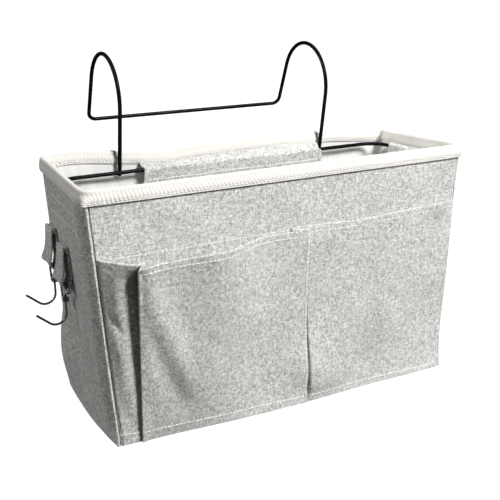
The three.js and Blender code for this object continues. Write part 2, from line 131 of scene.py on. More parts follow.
def face_give(x, y, z):
    """Give of the front or back wall: the front turns in to its seams, and the back hollows a little."""
    from_seam = half_length(z) - np.abs(x)
    front = 0.8 * hump(x, 30 * MM, 150 * MM) * hump(z, 208 * MM, 30 * MM)
    front = front - 1.5 * np.exp(-from_seam / (11 * MM)) * smooth(HEIGHT, 215 * MM, z)
    front = front + FOOT_FULL * np.exp(-z / (28 * MM)) * smooth(-150 * MM, -20 * MM, x)
    back = -1.8 * hump(x, 10 * MM, 130 * MM) * hump(z, 115 * MM, 65 * MM)
    back = back + 1.6 * hump(z, 30 * MM, 28 * MM) * hump(x, -20 * MM, 150 * MM)
    back = back + 0.8 * np.sin(x / (23 * MM) + 1.2) * hump(z, 150 * MM, 60 * MM)
    uneven = 0.4 * np.sin(x / (19 * MM) + z / (27 * MM)) + 0.35 * np.sin(x / (37 * MM) - z / (21 * MM) + 2)
    return (np.where(y < 0, front, back) + uneven * smooth(HEIGHT, 210 * MM, z)) * MM


def wall(along, z, inset=0.0):
    """Points of the box wall and their outward directions. Along counts eight stretches round the box,
    from 0 at the front left seam: front, corner, right, corner, back, corner, left, corner."""
    along, z, inset = np.broadcast_arrays(along, z, inset)
    stretch = np.floor(along).astype(int) % 8
    part = along - np.floor(along)
    corner = stretch % 2 == 1
    side = stretch // 2
    turn = (side + np.where(corner, part, 0) - 1) * math.pi / 2
    out_x, out_y = np.cos(turn), np.sin(turn)
    left_x, right_x, half_y = half_length(z) - inset, right_end(z) - inset, half_depth(z) - inset
    front = np.maximum(front_corner(z) - inset, SMALLEST_CORNER)
    sharp = np.maximum(FRONT_CORNER - inset, SMALLEST_CORNER)
    back = FRONT_CORNER + (BACK_CORNER - FRONT_CORNER) * z / HEIGHT
    back = np.maximum(back - inset, SMALLEST_CORNER)
    radii = [sharp, back, back, front]
    centre_x = [right_x - sharp, right_x - back, back - left_x, front - left_x]
    centre_y = [sharp - half_y, half_y - back, half_y - back, front - half_y]
    before = (side + 3) % 4
    mix = np.where(corner, 1, part)
    plan = []
    for centres, out in ((centre_x, out_x), (centre_y, out_y)):
        start = np.choose(before, centres) + out * np.choose(before, radii)
        end = np.choose(side, centres) + out * np.choose(side, radii)
        plan.append(start + (end - start) * mix)
    x, y = plan
    give = end_give(x, y, z) * out_x**2 + face_give(x, y, z) * out_y**2
    give = give + SEAM_RIDGE * 4 * (out_x * out_y) ** 2 * (out_y < 0) * (out_x < 0)
    lift = rim_lift(x, y) * smooth(RIM_LIFT_FROM * HEIGHT, HEIGHT, z)
    points = np.stack([x + out_x * give, y + out_y * give, z + lift], -1)
    return points, np.stack([out_x, out_y, 0 * out_x], -1)


def edged(length, step):
    """Places from 0 to length, closer together at both ends, where an edge is rounded."""
    count = max(2, round((length - 2 * EDGE_MARGIN) / step))
    middle = np.linspace(EDGE_MARGIN, length - EDGE_MARGIN, count)
    return np.concatenate([EDGE, middle, length - EDGE[::-1]])


def solid_mesh(name, points, quads, caps, places, finish):
    """A mesh object from points, four-sided faces and end caps, with its cloth or wire places as UVs."""
    mesh = bpy.data.meshes.new(name)
    corners = np.concatenate([quads.ravel(), *caps]).astype(np.int32)
    sizes = np.array([4] * len(quads) + [len(cap) for cap in caps])
    mesh.vertices.add(len(points))
    mesh.vertices.foreach_set("co", points.astype(np.float32).ravel())
    mesh.loops.add(len(corners))
    mesh.loops.foreach_set("vertex_index", corners)
    mesh.polygons.add(len(sizes))
    mesh.polygons.foreach_set("loop_start", (np.cumsum(sizes) - sizes).astype(np.int32))
    mesh.update(calc_edges=True)
    mesh.validate()
    layer = mesh.uv_layers.new(name="place")
    layer.data.foreach_set("uv", places[corners].astype(np.float32).ravel())
    mesh.shade_smooth()
    piece = bpy.data.objects.new(name, mesh)
    piece.data.materials.append(finish)
    bpy.context.scene.collection.objects.link(piece)
    return piece


def unit(vectors):
    return vectors / np.maximum(np.linalg.norm(vectors, axis=-1, keepdims=True), 1e-12)


def cloth_normals(middle, loop=False):
    """Directions out of a grid of cloth. The last column of a loop meets its first."""
    if loop:
        middle = np.concatenate([middle[:, -1:], middle, middle[:, :1]], axis=1)
    normal = unit(np.cross(np.gradient(middle, axis=1), np.gradient(middle, axis=0)))
    return normal[:, 1:-1] if loop else normal


def cloth_places(middle):
    """Lengths in metres along the weft, from the middle of each row, and along the warp, from the foot."""
    weft = np.cumsum(np.linalg.norm(np.diff(middle, axis=1, prepend=middle[:, :1]), axis=-1), axis=1)
    warp = np.cumsum(np.linalg.norm(np.diff(middle, axis=0, prepend=middle[:1]), axis=-1), axis=0)
    return weft - weft[:, middle.shape[1] // 2][:, None], warp


def ring_quads(index):
    """Faces between closed rings of points, each ring joined to the next one along."""
    beside = np.roll(index, -1, axis=-1)
    faces = [index[..., :-1, :], beside[..., :-1, :], beside[..., 1:, :], index[..., 1:, :]]
    return np.stack(faces, -1).reshape(-1, 4)


def cloth_body(name, middle, thickness, finish, loop=False, places=None):
    """A closed sheet of cloth about a grid of points, rounded at its edges. A loop has no side edges."""
    rows, columns = middle.shape[:2]
    normal = cloth_normals(middle, loop)
    weft, warp = places or cloth_places(middle)
    edge = np.minimum(warp, warp[-1] - warp)
    if not loop:
        edge = np.minimum(edge, np.minimum(weft - weft[:, :1], weft[:, -1:] - weft))
    thickness = np.broadcast_to(thickness, edge.shape)
    round_share = np.clip(edge / (0.5 * thickness), 0, 1)
    half = 0.5 * thickness * np.maximum(np.sqrt(1 - (1 - round_share) ** 2), 0.06)
    shift = normal * half[..., None]
    points = np.concatenate([middle + shift, (middle - shift)[::-1]])
    places = np.stack([np.concatenate([weft, weft[::-1]]), np.concatenate([warp, warp[::-1]])], -1)
    index = np.arange(2 * rows * columns).reshape(2 * rows, columns)
    if loop:
        quads = ring_quads(np.concatenate([index, index[:1]]))
    else:
        above, back = np.roll(index, -1, axis=0), index[::-1]
        around = np.stack([index[:, :-1], index[:, 1:], above[:, 1:], above[:, :-1]], -1).reshape(-1, 4)
        low, high = slice(0, rows - 1), slice(1, rows)
        start = np.stack([index[low, 0], index[high, 0], back[high, 0], back[low, 0]], -1)
        end = np.stack([index[low, -1], back[low, -1], back[high, -1], index[high, -1]], -1)
        quads = np.concatenate([around, start, end])
    return solid_mesh(name, points.reshape(-1, 3), quads, [], places.reshape(-1, 2), finish)


def settle(piece, body, node):
    """Attaches a piece to the body it moves with, and hides the CAD part that it stands in for."""
    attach(piece, body)
    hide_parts(node)


def feed(node, sockets):
    """Sets a node's sockets: shades by links, and fixed values on the sockets themselves."""
    for name, value in sockets.items():
        if isinstance(value, Shade):
            node.id_data.links.new(value.socket, node.inputs[name])
        else:
            node.inputs[name].default_value = value


class Shade:
    """A shader socket that Python's operators work on. Each operation adds its Math node."""

    def __init__(self, tree, socket=None):
        self.tree = tree
        self.socket = socket

    def node(self, kind, settings=None, sockets=None, output=0):
        made = self.tree.nodes.new(kind)
        for name, value in (settings or {}).items():
            setattr(made, name, value)
        feed(made, sockets or {})
        return Shade(self.tree, made.outputs[output])

    def other(self, output):
        return Shade(self.tree, self.socket.node.outputs[output])

    def maths(self, operation, *terms):
        return self.node("ShaderNodeMath", {"operation": operation}, dict(enumerate((self, *terms))))

    def __add__(self, term):
        return self.maths("ADD", term)

    def __sub__(self, term):
        return self.maths("SUBTRACT", term)

    def __rsub__(self, term):
        return self.node("ShaderNodeMath", {"operation": "SUBTRACT"}, {0: term, 1: self})

    def __mul__(self, term):
        return self.maths("MULTIPLY", term)

    def __truediv__(self, term):
        return self.maths("DIVIDE", term)

    __radd__ = __add__
    __rmul__ = __mul__


def new_finish(name):
    """A material, and the two places along its surface in metres."""
    material = bpy.data.materials.new(name)
    material.use_nodes = True
    place = Shade(material.node_tree).node("ShaderNodeUVMap", {"uv_map": "place"})
    across = place.node("ShaderNodeSeparateXYZ", None, {"Vector": place})
    return material, across, across.other(1)


def dress(material, sockets):
    """Sets the sockets of a material's shader."""
    feed(material.node_tree.nodes["Principled BSDF"], sockets)


def noise(across, up, scale_across, scale_up, detail=2.0):
    """Noise that is stretched by its two scales, in cycles per metre."""
    place = across.node("ShaderNodeCombineXYZ", None, {0: across * scale_across, 1: up * scale_up})
    settings = {"noise_dimensions": "2D"}
    return across.node("ShaderNodeTexNoise", settings, {"Vector": place, "Scale": 1.0, "Detail": detail})


def mixed(share, low, high):
    """A colour between two, by a share. The colours of a Mix node are its sockets 6 and 7, and output 2."""
    return share.node("ShaderNodeMix", {"data_type": "RGBA"}, {0: share, 6: low, 7: high}, 2)


def bumped(height, depth, strength):
    return height.node("ShaderNodeBump", None, {"Height": height, "Distance": depth, "Strength": strength})


def yarn_tone(yarn, along):
    """A chance tone for each short length of a yarn. The lengths start at a different place on each yarn."""
    shift = yarn.node("ShaderNodeTexWhiteNoise", {"noise_dimensions": "1D"}, {"W": yarn})
    piece = (0.3 * along + 7 * shift).maths("FLOOR")
    place = yarn.node("ShaderNodeCombineXYZ", None, {0: yarn, 1: piece})
    return yarn.node("ShaderNodeTexWhiteNoise", {"noise_dimensions": "2D"}, {"Vector": place})


# The weave is plain. Each yarn goes over one and under the next, and its tone changes from slub to slub.
linen, across, up = new_finish("linen")
warp, weft = across / YARN, up / YARN
column, row = warp.maths("FLOOR"), weft.maths("FLOOR")
over = (column + row).maths("FLOORED_MODULO", 2.0)
from_warp, from_weft = warp.maths("FRACT") - 0.5, weft.maths("FRACT") - 0.5
across_warp, across_weft = 4 * from_warp * from_warp, 4 * from_weft * from_weft
warp_float = (1 - across_warp) * (1 - 0.6 * across_weft)
weft_float = (1 - across_weft) * (1 - 0.6 * across_warp)


def woven(of_warp, of_weft):
    """What shows of the two yarns: the warp's where it goes over, and the weft's elsewhere."""
    return of_warp * over + of_weft * (1 - over)


height = woven(warp_float, weft_float)
knot = woven(yarn_tone(column, weft), yarn_tone(row + 0.5, warp))
slub = woven(noise(column, weft, 7.31, 0.17), noise(warp, row, 0.17, 7.31))
fibre = woven(noise(warp, weft, 7.0, 0.9), noise(warp, weft, 0.9, 7.0))
cloud = noise(across, up, 28.0, 28.0, 3.0)
# The 0.5 * height term darkens the colour where each float dips at its ends: painted shade in the gaps
# between the yarns.
tone = 0.95 * knot + 0.7 * slub + 0.3 * fibre + 0.5 * height + 0.3 * over + 0.2 * cloud - 1.03
dress(linen, {
    "Base Color": mixed(tone, DARK_YARN, LIGHT_YARN),
    "Roughness": 0.86 + 0.1 * knot,
    "Normal": bumped(height * (0.8 + 0.4 * slub) + 0.15 * fibre, 0.3 * MM, 0.6),
    "Sheen Weight": 0.12,
    "Sheen Roughness": 0.5,
    "Specular IOR Level": 0.2,
})
PANELS = {"front": 0, "right": 1, "back": 4, "left": 5}
LONG_PANELS = ("front", "back")


def spaced(runs, gap):
    """The places of several runs in one order, less those within a gap of the one before."""
    places = np.sort(np.concatenate(runs))
    return places[np.diff(places, prepend=-1) > gap]


def panel_columns(side, step):
    """Places along a panel, close by the first seam of a long one and round the corners of an end one."""
    start = PANELS[side]
    if side in LONG_PANELS:
        return start + spaced([SEAM_PLACES, edged(RIM_LENGTH, step)], 0.02 * MM) / RIM_LENGTH
    straight = np.linspace(0, 1, round(2 * RIM_HALF_DEPTH / step))
    runs = [CORNER_PLACES[:-1], 1 + straight[:-1], 2 + CORNER_PLACES]
    return start + np.concatenate(runs)


def wall_sheet(name, side, outer_inset, thickness, finish, step):
    """One wall's sheet, from its outer inset inwards. The front dips where it meets its left seam."""
    columns = panel_columns(side, step)
    z = (WALL_FOOT + edged(WALL_TOP - WALL_FOOT, step))[:, None]
    inset = outer_inset + 0.5 * thickness
    if side == "front":
        inset = inset + LEFT_SEAM_DIP * smooth(2 * MM, 0.7 * MM, columns * RIM_LENGTH)
    middle, _ = wall(columns, z, inset)
    return cloth_body(name, middle, thickness, finish)


def panel_flat(side):
    """The cut size of a panel, by its wider end, and its area."""
    if side in LONG_PANELS:
        top, foot = RIM_LENGTH, 2 * BASE_HALF.x
    else:
        top, foot = 2 * RIM_HALF_DEPTH, 2 * BASE_HALF.y
    return (max(top, foot), HEIGHT), 0.5 * (top + foot) * HEIGHT


walls = {}
for side in PANELS:
    walls[side] = wall_sheet(f"{side}_wall_cloth", side, 0.0, CLOTH, linen, WALL_STEP)
    settle(walls[side], "caddy", f"{side}_panel")

# Sewing thread: off-white spun thread in lockstitch, which dips into the cloth between stitches.
# Each row below is sewn with it, and every stitch lies on the cloth that it holds.
THREAD = 0.95 * MM
STITCH = 3.4 * MM
STITCH_GAP = 0.5 * MM
STITCH_SIDES = 6
STITCH_RINGS = 6
THREAD_PLY = 0.45 * MM
thread, across, up = new_finish("thread")
ply = ((up * 2.0 + across * 3.0) * (math.pi / THREAD_PLY)).maths("SINE")
fuzz = noise(across, up, 2500.0, 900.0)
dress(thread, {
    "Base Color": mixed(0.35 + 0.25 * ply + 0.3 * fuzz, (0.74, 0.73, 0.7, 1), (0.98, 0.975, 0.95, 1)),
    "Roughness": 0.6 + 0.25 * fuzz,
    "Normal": bumped(ply, 0.05 * MM, 0.6),
    "Sheen Weight": 0.1,
})


def run_lengths(points):
    """The length of a line of points up to each of them."""
    return np.concatenate([[0], np.cumsum(np.linalg.norm(np.diff(points, axis=0), axis=1))])


def read_off(wanted, length, values):
    """The values along a line, at the wanted lengths."""
    return np.stack([np.interp(wanted, length, column) for column in values.T], -1)


def rods(name, line, aside, over, size, radius, length, sides, finish):
    """Round rods about lines of points, closed at both ends. Size is the radius at each point of a line,
    and the places go round by one radius."""
    around = 2 * math.pi * np.arange(sides) / sides
    ring = aside[:, :, None] * np.cos(around)[:, None] + over[:, :, None] * np.sin(around)[:, None]
    shell = line[:, :, None] + ring * size[:, None, None]
    index = np.arange(shell[..., 0].size).reshape(shell.shape[:3])
    caps = [*index[:, 0, ::-1], *index[:, -1]]
    places = np.stack(np.broadcast_arrays(radius * around, length[..., None]), -1)
    return solid_mesh(name, shell.reshape(-1, 3), ring_quads(index), caps, places.reshape(-1, 2), finish)


def stitch_row(name, points, normals, thickness=THREAD):
    """Stitches along a line of close points on a cloth, each one a bent round of thread."""
    length = run_lengths(points)
    pitch = STITCH + STITCH_GAP
    count = max(1, int((length[-1] + STITCH_GAP) / pitch))
    begin = 0.5 * (length[-1] - count * pitch + STITCH_GAP) + pitch * np.arange(count)
    share = np.linspace(0, 1, STITCH_RINGS)
    at = begin[:, None] + STITCH * share
    out = unit(read_off(at, length, normals))
    rise = thickness * (0.42 * np.sin(math.pi * share) - 0.22)
    line = read_off(at, length, points) + out * rise[:, None]
    aside = np.cross(unit(np.gradient(line, axis=1)), out)
    radius = 0.5 * thickness
    size = radius * (0.55 + 0.45 * np.sin(math.pi * share) ** 0.5)
    row = rods(name, line, aside, out, size, radius, at, STITCH_SIDES, thread)
    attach(row, "caddy")
    return row


def wall_row(name, along, z, thickness):
    """A row of stitches on the outer face of the walls."""
    return stitch_row(name, *wall(along, z), thickness)


# Rows that catch the hoop's sleeves show on the outside of the end walls and the back, and a short one
# crosses the front above the pleated pocket, where its corner turns up to the seam.
SLEEVE_ROWS = (210 * MM, 195 * MM)
CREASE_SPAN = (0.012, 0.52)
CREASE_Z = 178.6 * MM
CREASE_RISE = 6 * MM
SLEEVE_SPANS = {"left": (6.12, 6.82), "right": (2.18, 2.88), "back": (4.22, 4.76)}
WALL_ROW_POINTS = 160
HEAVY = 1.2 * MM
FINE = 0.6 * MM
rows = {side: [] for side in PANELS}
for number, height in enumerate(SLEEVE_ROWS):
    for side, span in SLEEVE_SPANS.items():
        along = np.linspace(*span, WALL_ROW_POINTS)
        rows[side].append(wall_row(f"{side}_sleeve_stitches_{number}", along, height, HEAVY))
crease = np.linspace(*CREASE_SPAN, WALL_ROW_POINTS)
crease_z = CREASE_Z + CREASE_RISE * np.exp(1 - crease / CREASE_SPAN[0])
rows["front"].append(wall_row("front_crease_stitches", crease, crease_z, FINE))
for side in PANELS:
    flat, area = panel_flat(side)

# Lining: the coated back of the canvas, off-white and slightly glossy. It is sewn in with each wall and
# shows all round the inside, with upright streaks where the coat was drawn on.
LINING = 1.2 * MM
LINING_INSET = 1.3 * MM
LINING_STEP = 4 * MM
coated, across, up = new_finish("coated_lining")
streak = noise(across, up, 170.0, 9.0, 3.0)
cloud = noise(across, up, 22.0, 16.0, 3.0)
grain = noise(across, up, 1300.0, 1300.0)
tone = 0.6 * streak + 0.5 * cloud + 0.2 * grain - 0.15
dress(coated, {
    "Base Color": mixed(tone, (0.54, 0.535, 0.515, 1), (0.87, 0.865, 0.845, 1)),
    "Roughness": 0.5 + 0.25 * streak + 0.1 * grain,
    "Normal": bumped(streak + 0.25 * grain, 0.35 * MM, 0.4),
    "Coat Weight": 0.04 + 0.06 * cloud,
    "Coat Roughness": 0.35,
    "Specular IOR Level": 0.4,
})
for side in PANELS:
    piece = wall_sheet(f"{side}_wall_lining", side, LINING_INSET, LINING, coated, LINING_STEP)
    settle(piece, "caddy", f"{side}_lining")
    flat, area = panel_flat(side)

# Base: a canvas bottom sewn to the walls, a stiff grey board lying on it, and a loose lining over the
# board. The board's solid is kept as it is.
FLOOR_STEP = 4 * MM
FLOOR_PUFF = 1.2 * MM


def floor_sheet(name, node, finish, puff, spread):
    """A flat sheet that fills a floor node's outline, raised between its edges by a little puff. The
    outer bottom also spreads out to meet the feet of the walls."""
    low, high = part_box(node)
    y = (low.y + edged(high.y - low.y, FLOOR_STEP))[:, None]
    left_x = low.x - spread * end_give(-1.0, y, 0.0)
    right_x = high.x + spread * (FOOT_SPREAD + end_give(1.0, y, 0.0))
    share = edged(high.x - low.x, FLOOR_STEP) / (high.x - low.x)
    x = left_x + (right_x - left_x) * share
    edge = np.minimum(np.minimum(x - left_x, right_x - x), np.minimum(y - low.y, high.y - y))
    wave = 0.6 + 0.4 * np.sin(x / (31 * MM)) * np.sin(y / (19 * MM) + 1)
    z = 0.5 * (low.z + high.z) + puff * smooth(2 * MM, 40 * MM, edge) * wave
    y = y - spread * face_give(x, -1.0, 0.0) * smooth(0, low.y, y)
    x, y, z = np.broadcast_arrays(x, y, z)
    piece = cloth_body(name, np.stack([x, y, z], -1), high.z - low.z, finish)
    settle(piece, "caddy", node)


floor_sheet("bottom_cloth", "bottom_panel", linen, 0.0, 1)
floor_sheet("bottom_lining_cloth", "bottom_lining", coated, FLOOR_PUFF, 0)
pressed_board, across, _ = new_finish("pressed_board")
place = across.node("ShaderNodeTexCoord", None, None, "Object")
fibre = place.node("ShaderNodeTexNoise", None, {"Vector": place, "Scale": 420.0, "Detail": 4.0})
cloud = place.node("ShaderNodeTexNoise", None, {"Vector": place, "Scale": 30.0, "Detail": 3.0})
dress(pressed_board, {
    "Base Color": mixed(0.6 * fibre + 0.4 * cloud, (0.2, 0.185, 0.16, 1), (0.46, 0.43, 0.38, 1)),
    "Roughness": 0.75 + 0.2 * fibre,
    "Normal": bumped(fibre, 0.2 * MM, 0.4),
})
board = frame["nodes"]["base_board"]
board.data.materials.clear()
board.data.materials.append(pressed_board)

# Pleated pocket: one length of canvas with a hemmed top. From the front left seam it slants out, tucks
# back behind a pressed fold, crosses the front, and folds under itself at the divider. The foot is sewn
# flat, so the pocket stands off most at its hem, and the tuck is a deep hollow.
POCKET_FOOT = 0.7 * MM
POCKET_HEM = 180 * MM
HEM_DEPTH = 8 * MM
HEM_EXTRA = 1.1 * MM
FOLD_HEM = np.array([-165.6, -100.2]) * MM
FOLD_FOOT = np.array([-161.4, -76.2]) * MM
TUCK_AT_HEM = np.array([7.0, 5.0]) * MM
TUCK_RUN = 15 * MM
SLOT = 10.5 * MM
SHOULDER_STAND = 0.74
SHOULDER = 0.42
SHOULDER_TURN = 0.19
VALLEY = 0.72
VALLEY_TURN = 0.04
GUSSET_TURN = 0.03
FRONT_TURN = 0.011
HEM_DIP = 4.6 * MM
SEAM_SINK = 3.4 * MM
POCKET_DEEP = 31 * MM
POCKET_SHALLOW = 8 * MM
DIVIDER_FOLD = 10.8 * MM
DIVIDER_SEAM = -3 * MM
FOLD_RADIUS = 1.3 * MM
RETURN_TURN = 0.45
SEAM_MARGIN = 0.6 * MM
GUSSET_LENGTH = 68 * MM
PLEAT_LENGTH = 176 * MM
POCKET_STEP = 1.9 * MM
POCKET_RISE = 2 * MM


def front_face(x, z):
    """Y of the front wall's outer face."""
    return -half_depth(z) - face_give(x, -1.0, z)


def mixed_points(low, high, share):
    return low + (high - low) * np.asarray(share)[..., None]


def rounded(before, corner, after, share):
    """A soft turn at a corner, from a point before it to one after it."""
    share = np.clip(share, 0, 1)[..., None]
    return (1 - share) ** 2 * before + 2 * share * (1 - share) * corner + share**2 * after


def pocket_share(z):
    return (z - POCKET_FOOT) / (POCKET_HEM - POCKET_FOOT)


def bent_line(corners, places, soft, u):
    """A line through corners at places along it, with a soft turn at each inner one."""
    line = corners[0]
    for i in range(len(corners) - 1):
        share = np.clip((u - places[i]) / (places[i + 1] - places[i]), 0, 1)
        line = np.where((u >= places[i])[..., None], mixed_points(corners[i], corners[i + 1], share), line)
    for i in range(1, len(corners) - 1):
        before = mixed_points(corners[i], corners[i - 1], soft[i] / (places[i] - places[i - 1]))
        after = mixed_points(corners[i], corners[i + 1], soft[i] / (places[i + 1] - places[i]))
        turn = rounded(before, corners[i], after, (u - places[i] + soft[i]) / (2 * soft[i]))
        line = np.where((np.abs(u - places[i]) < soft[i])[..., None], turn, line)
    return line


def gusset(u, z):
    """The side of the pleat, from the seam at u 0 to the fold at u 1. It slants out from the seam to a
    soft shoulder just short of the fold, and from there tucks back to a valley behind the fold."""
    t = pocket_share(z)
    seam_x = -half_length(z) + FRONT_CORNER + SEAM_MARGIN
    seam = np.stack([seam_x, front_face(seam_x, z) - 0.6 * CLOTH], -1)
    fold = mixed_points(FOLD_FOOT, FOLD_HEM, t)
    face = front_face(fold[..., 0], z)
    stand = face - fold[..., 1]
    taut = smooth(0.9, 1, t)
    slot = SLOT * smooth(0, 0.4, t) * (1 - 0.8 * taut)
    share = 0.3 + (SHOULDER_STAND - 0.3) * smooth(0, 0.35, t)
    share = share + (0.95 - share) * taut
    shoulder = np.stack([fold[..., 0] - slot, face - share * stand], -1)
    valley_x = fold[..., 0] + TUCK_RUN
    on_wall = np.stack([valley_x, front_face(valley_x, z) - 1.3 * CLOTH], -1)
    valley = mixed_points(fold + TUCK_AT_HEM, on_wall, smooth(0.995, 0.9, t))
    corners, soft = (seam, shoulder, valley, fold), (0, SHOULDER_TURN, VALLEY_TURN, 0)
    plan = bent_line(corners, (0, SHOULDER, VALLEY, 1), soft, u)
    slack = np.sin(math.pi * np.clip(u / SHOULDER, 0, 1)) * smooth(0.99, 0.85, t)
    bulge = -0.8 * MM * slack * smooth(0, 0.3, t)
    crease_height = 137 * MM - 60 * MM * u
    bulge = bulge - 2.4 * MM * hump(z, crease_height, 6 * MM) * hump(u, 0.22, 0.13)
    bulge = bulge + 1.4 * MM * hump(z, crease_height - 24 * MM, 14 * MM) * hump(u, 0.2, 0.13)
    dip = -HEM_DIP * smooth(0.8, 1, u) * taut
    sunk = SEAM_SINK * smooth(0.055, 0.02, u)
    return np.stack([plan[..., 0], plan[..., 1] - bulge + sunk, z + dip], -1)


def pocket_front(v, z):
    """The front of the pleat, from its fold at v 0 to the divider's at v 1, with a soft slanting ridge."""
    t = pocket_share(z)
    fold = mixed_points(FOLD_FOOT, FOLD_HEM, t)
    edge_x = DIVIDER_FOLD - 1.6 * MM * hump(z, 14 * MM, 12 * MM)
    x = fold[..., 0] + (edge_x - fold[..., 0]) * v
    lift = POCKET_SHALLOW + (POCKET_DEEP - POCKET_SHALLOW) * (1 - smooth(-95 * MM, -25 * MM, x))
    flat = front_face(x, z) - 2.2 * CLOTH
    ridge_x = -166 * MM + (POCKET_HEM - z) * 0.39
    ridge = 3.3 * MM * hump(x, ridge_x, 12 * MM) * smooth(0.1, 0.4, t) * smooth(0.99, 0.7, t)
    hollow = -2 * MM * hump(x, ridge_x - 15 * MM, 9 * MM) * smooth(0.1, 0.3, t) * smooth(0.75, 0.45, t)
    hollow = hollow - 1.8 * MM * hump(x, -40 * MM, 34 * MM) * hump(t, 0.6, 0.25)
    soft = 0.45 * MM * np.sin(x / (15 * MM) + z / (26 * MM)) * smooth(0, 0.2, t)
    proud = 2.6 * MM * hump(z, 34 * MM, 22 * MM) * smooth(-14 * MM, 11 * MM, x)
    y = flat - lift * t**0.94 - proud - soft
    y = y - (ridge + hollow) * smooth(0, 0.08, v) * smooth(1, 0.9, v)
    y = fold[..., 1] + (y - fold[..., 1]) * smooth(0, 0.05, v)
    dip = -HEM_DIP * np.exp(-(x - fold[..., 0]) / (11 * MM)) * smooth(0.9, 1, t)
    return np.stack([x, y, z + dip], -1)


def divider_return(w, z):
    """The folded edge at the divider, and the layer that runs back under it to the seam."""
    edge = pocket_front(np.ones_like(z), z)
    turn = math.pi * np.clip(w / RETURN_TURN, 0, 1)
    under_y = edge[..., 1] + 2 * FOLD_RADIUS
    back = smooth(RETURN_TURN, 1, w)
    seam_y = front_face(DIVIDER_SEAM, z) - 2.2 * CLOTH
    x = edge[..., 0] + FOLD_RADIUS * np.sin(turn) + (DIVIDER_SEAM - edge[..., 0]) * back
    y = edge[..., 1] + FOLD_RADIUS * (1 - np.cos(turn))
    y = y + (np.maximum(seam_y, under_y) - under_y) * back
    return np.stack([x, y, edge[..., 2]], -1)


def pleated_pocket(s, z):
    """The whole pocket: the gusset from s 0 to 1, the front from 1 to 2, and the divider return to 3."""
    s, z = np.broadcast_arrays(s, z)
    points = np.where((s < 1)[..., None], gusset(np.clip(s, 0, 1), z), 0)
    points = np.where(((s >= 1) & (s < 2))[..., None], pocket_front(np.clip(s - 1, 0, 1), z), points)
    points = np.where((s >= 2)[..., None], divider_return(np.clip(s - 2, 0, 1), z), points)
    before = gusset(np.full_like(s, 1 - GUSSET_TURN), z)
    corner = pocket_front(np.zeros_like(s), z)
    after = pocket_front(np.full_like(s, FRONT_TURN), z)
    turned = np.where(s < 1, 0.5 + 0.5 * (s - 1) / GUSSET_TURN, 0.5 + 0.5 * (s - 1) / FRONT_TURN)
    at_fold = (s > 1 - GUSSET_TURN) & (s < 1 + FRONT_TURN)
    return np.where(at_fold[..., None], rounded(before, corner, after, turned), points)


def pocket_body(name, node, surface, columns, hem):
    """A pocket's cloth, doubled in its hem."""
    z = (POCKET_FOOT + edged(hem - POCKET_FOOT, POCKET_RISE))[:, None]
    middle = surface(columns, z)
    turned = hem - HEM_DEPTH
    thickness = CLOTH + HEM_EXTRA * smooth(turned - 0.6 * MM, turned + 0.6 * MM, z)
    middle = middle - cloth_normals(middle) * (0.5 * (thickness - CLOTH))[..., None]
    piece = cloth_body(name, middle, thickness, linen)
    settle(piece, "caddy", node)
    return piece


def surface_row(name, surface, span, rise, thickness=THREAD):
    """A row of stitches on the outside of a pocket, between two places and two heights."""
    s = np.linspace(*span, POCKET_ROW_POINTS)
    z = np.linspace(*rise, POCKET_ROW_POINTS)
    step = 1e-4
    here = surface(s, z)
    normal = unit(np.cross(surface(s + step, z) - here, surface(s, z + step) - here))
    return stitch_row(name, here + normal * 0.5 * CLOTH, normal, thickness)


POCKET_ROW_POINTS = 240
HEM_ROW = 6 * MM
FOOT_ROW_LEFT = 11.5 * MM
FOOT_ROW_MIDDLE = 8 * MM
FOOT_ROW_RIGHT = 5.5 * MM
PLEAT_ROW = (1.02, 1.995)
GUSSET_ROW = (0.03, SHOULDER)
DIVIDER_ROW = (1.994, 1.994)
DIVIDER_THREAD = 1.3 * THREAD
pleat_columns = spaced([
    edged(GUSSET_LENGTH, POCKET_STEP)[:-1] / GUSSET_LENGTH,
    np.linspace(SHOULDER - SHOULDER_TURN, SHOULDER + SHOULDER_TURN, 14),
    np.linspace(VALLEY - VALLEY_TURN, VALLEY + VALLEY_TURN, 12),
    np.linspace(1 - GUSSET_TURN, 1 + FRONT_TURN, 14),
    1 + edged(PLEAT_LENGTH, POCKET_STEP)[:-1] / PLEAT_LENGTH,
    2 + np.linspace(0, 1, 26),
], 2e-4)
pleat = pocket_body("pleated_pocket_cloth", "left_pocket", pleated_pocket, pleat_columns, POCKET_HEM)
hem_row = POCKET_HEM - HEM_ROW
pleat_rows = [
    surface_row("pleat_hem_stitches", pleated_pocket, PLEAT_ROW, (hem_row, hem_row)),
    surface_row("gusset_foot_stitches", pleated_pocket, GUSSET_ROW, (FOOT_ROW_LEFT, FOOT_ROW_LEFT)),
    surface_row("pleat_foot_stitches", pleated_pocket, PLEAT_ROW, (FOOT_ROW_LEFT, FOOT_ROW_MIDDLE)),
    surface_row("divider_edge_stitches", pleated_pocket, DIVIDER_ROW,
                (POCKET_HEM - 2 * MM, FOOT_ROW_MIDDLE), DIVIDER_THREAD),
]

# Flat pocket: the rest of the same canvas, from the divider seam to the front right seam. Its hem gapes
# a few millimetres in the middle, and the doubled hem makes a lump where it is caught in the seam.
FLAT_HEM = 181.4 * MM
FLAT_GAPE = 5.5 * MM


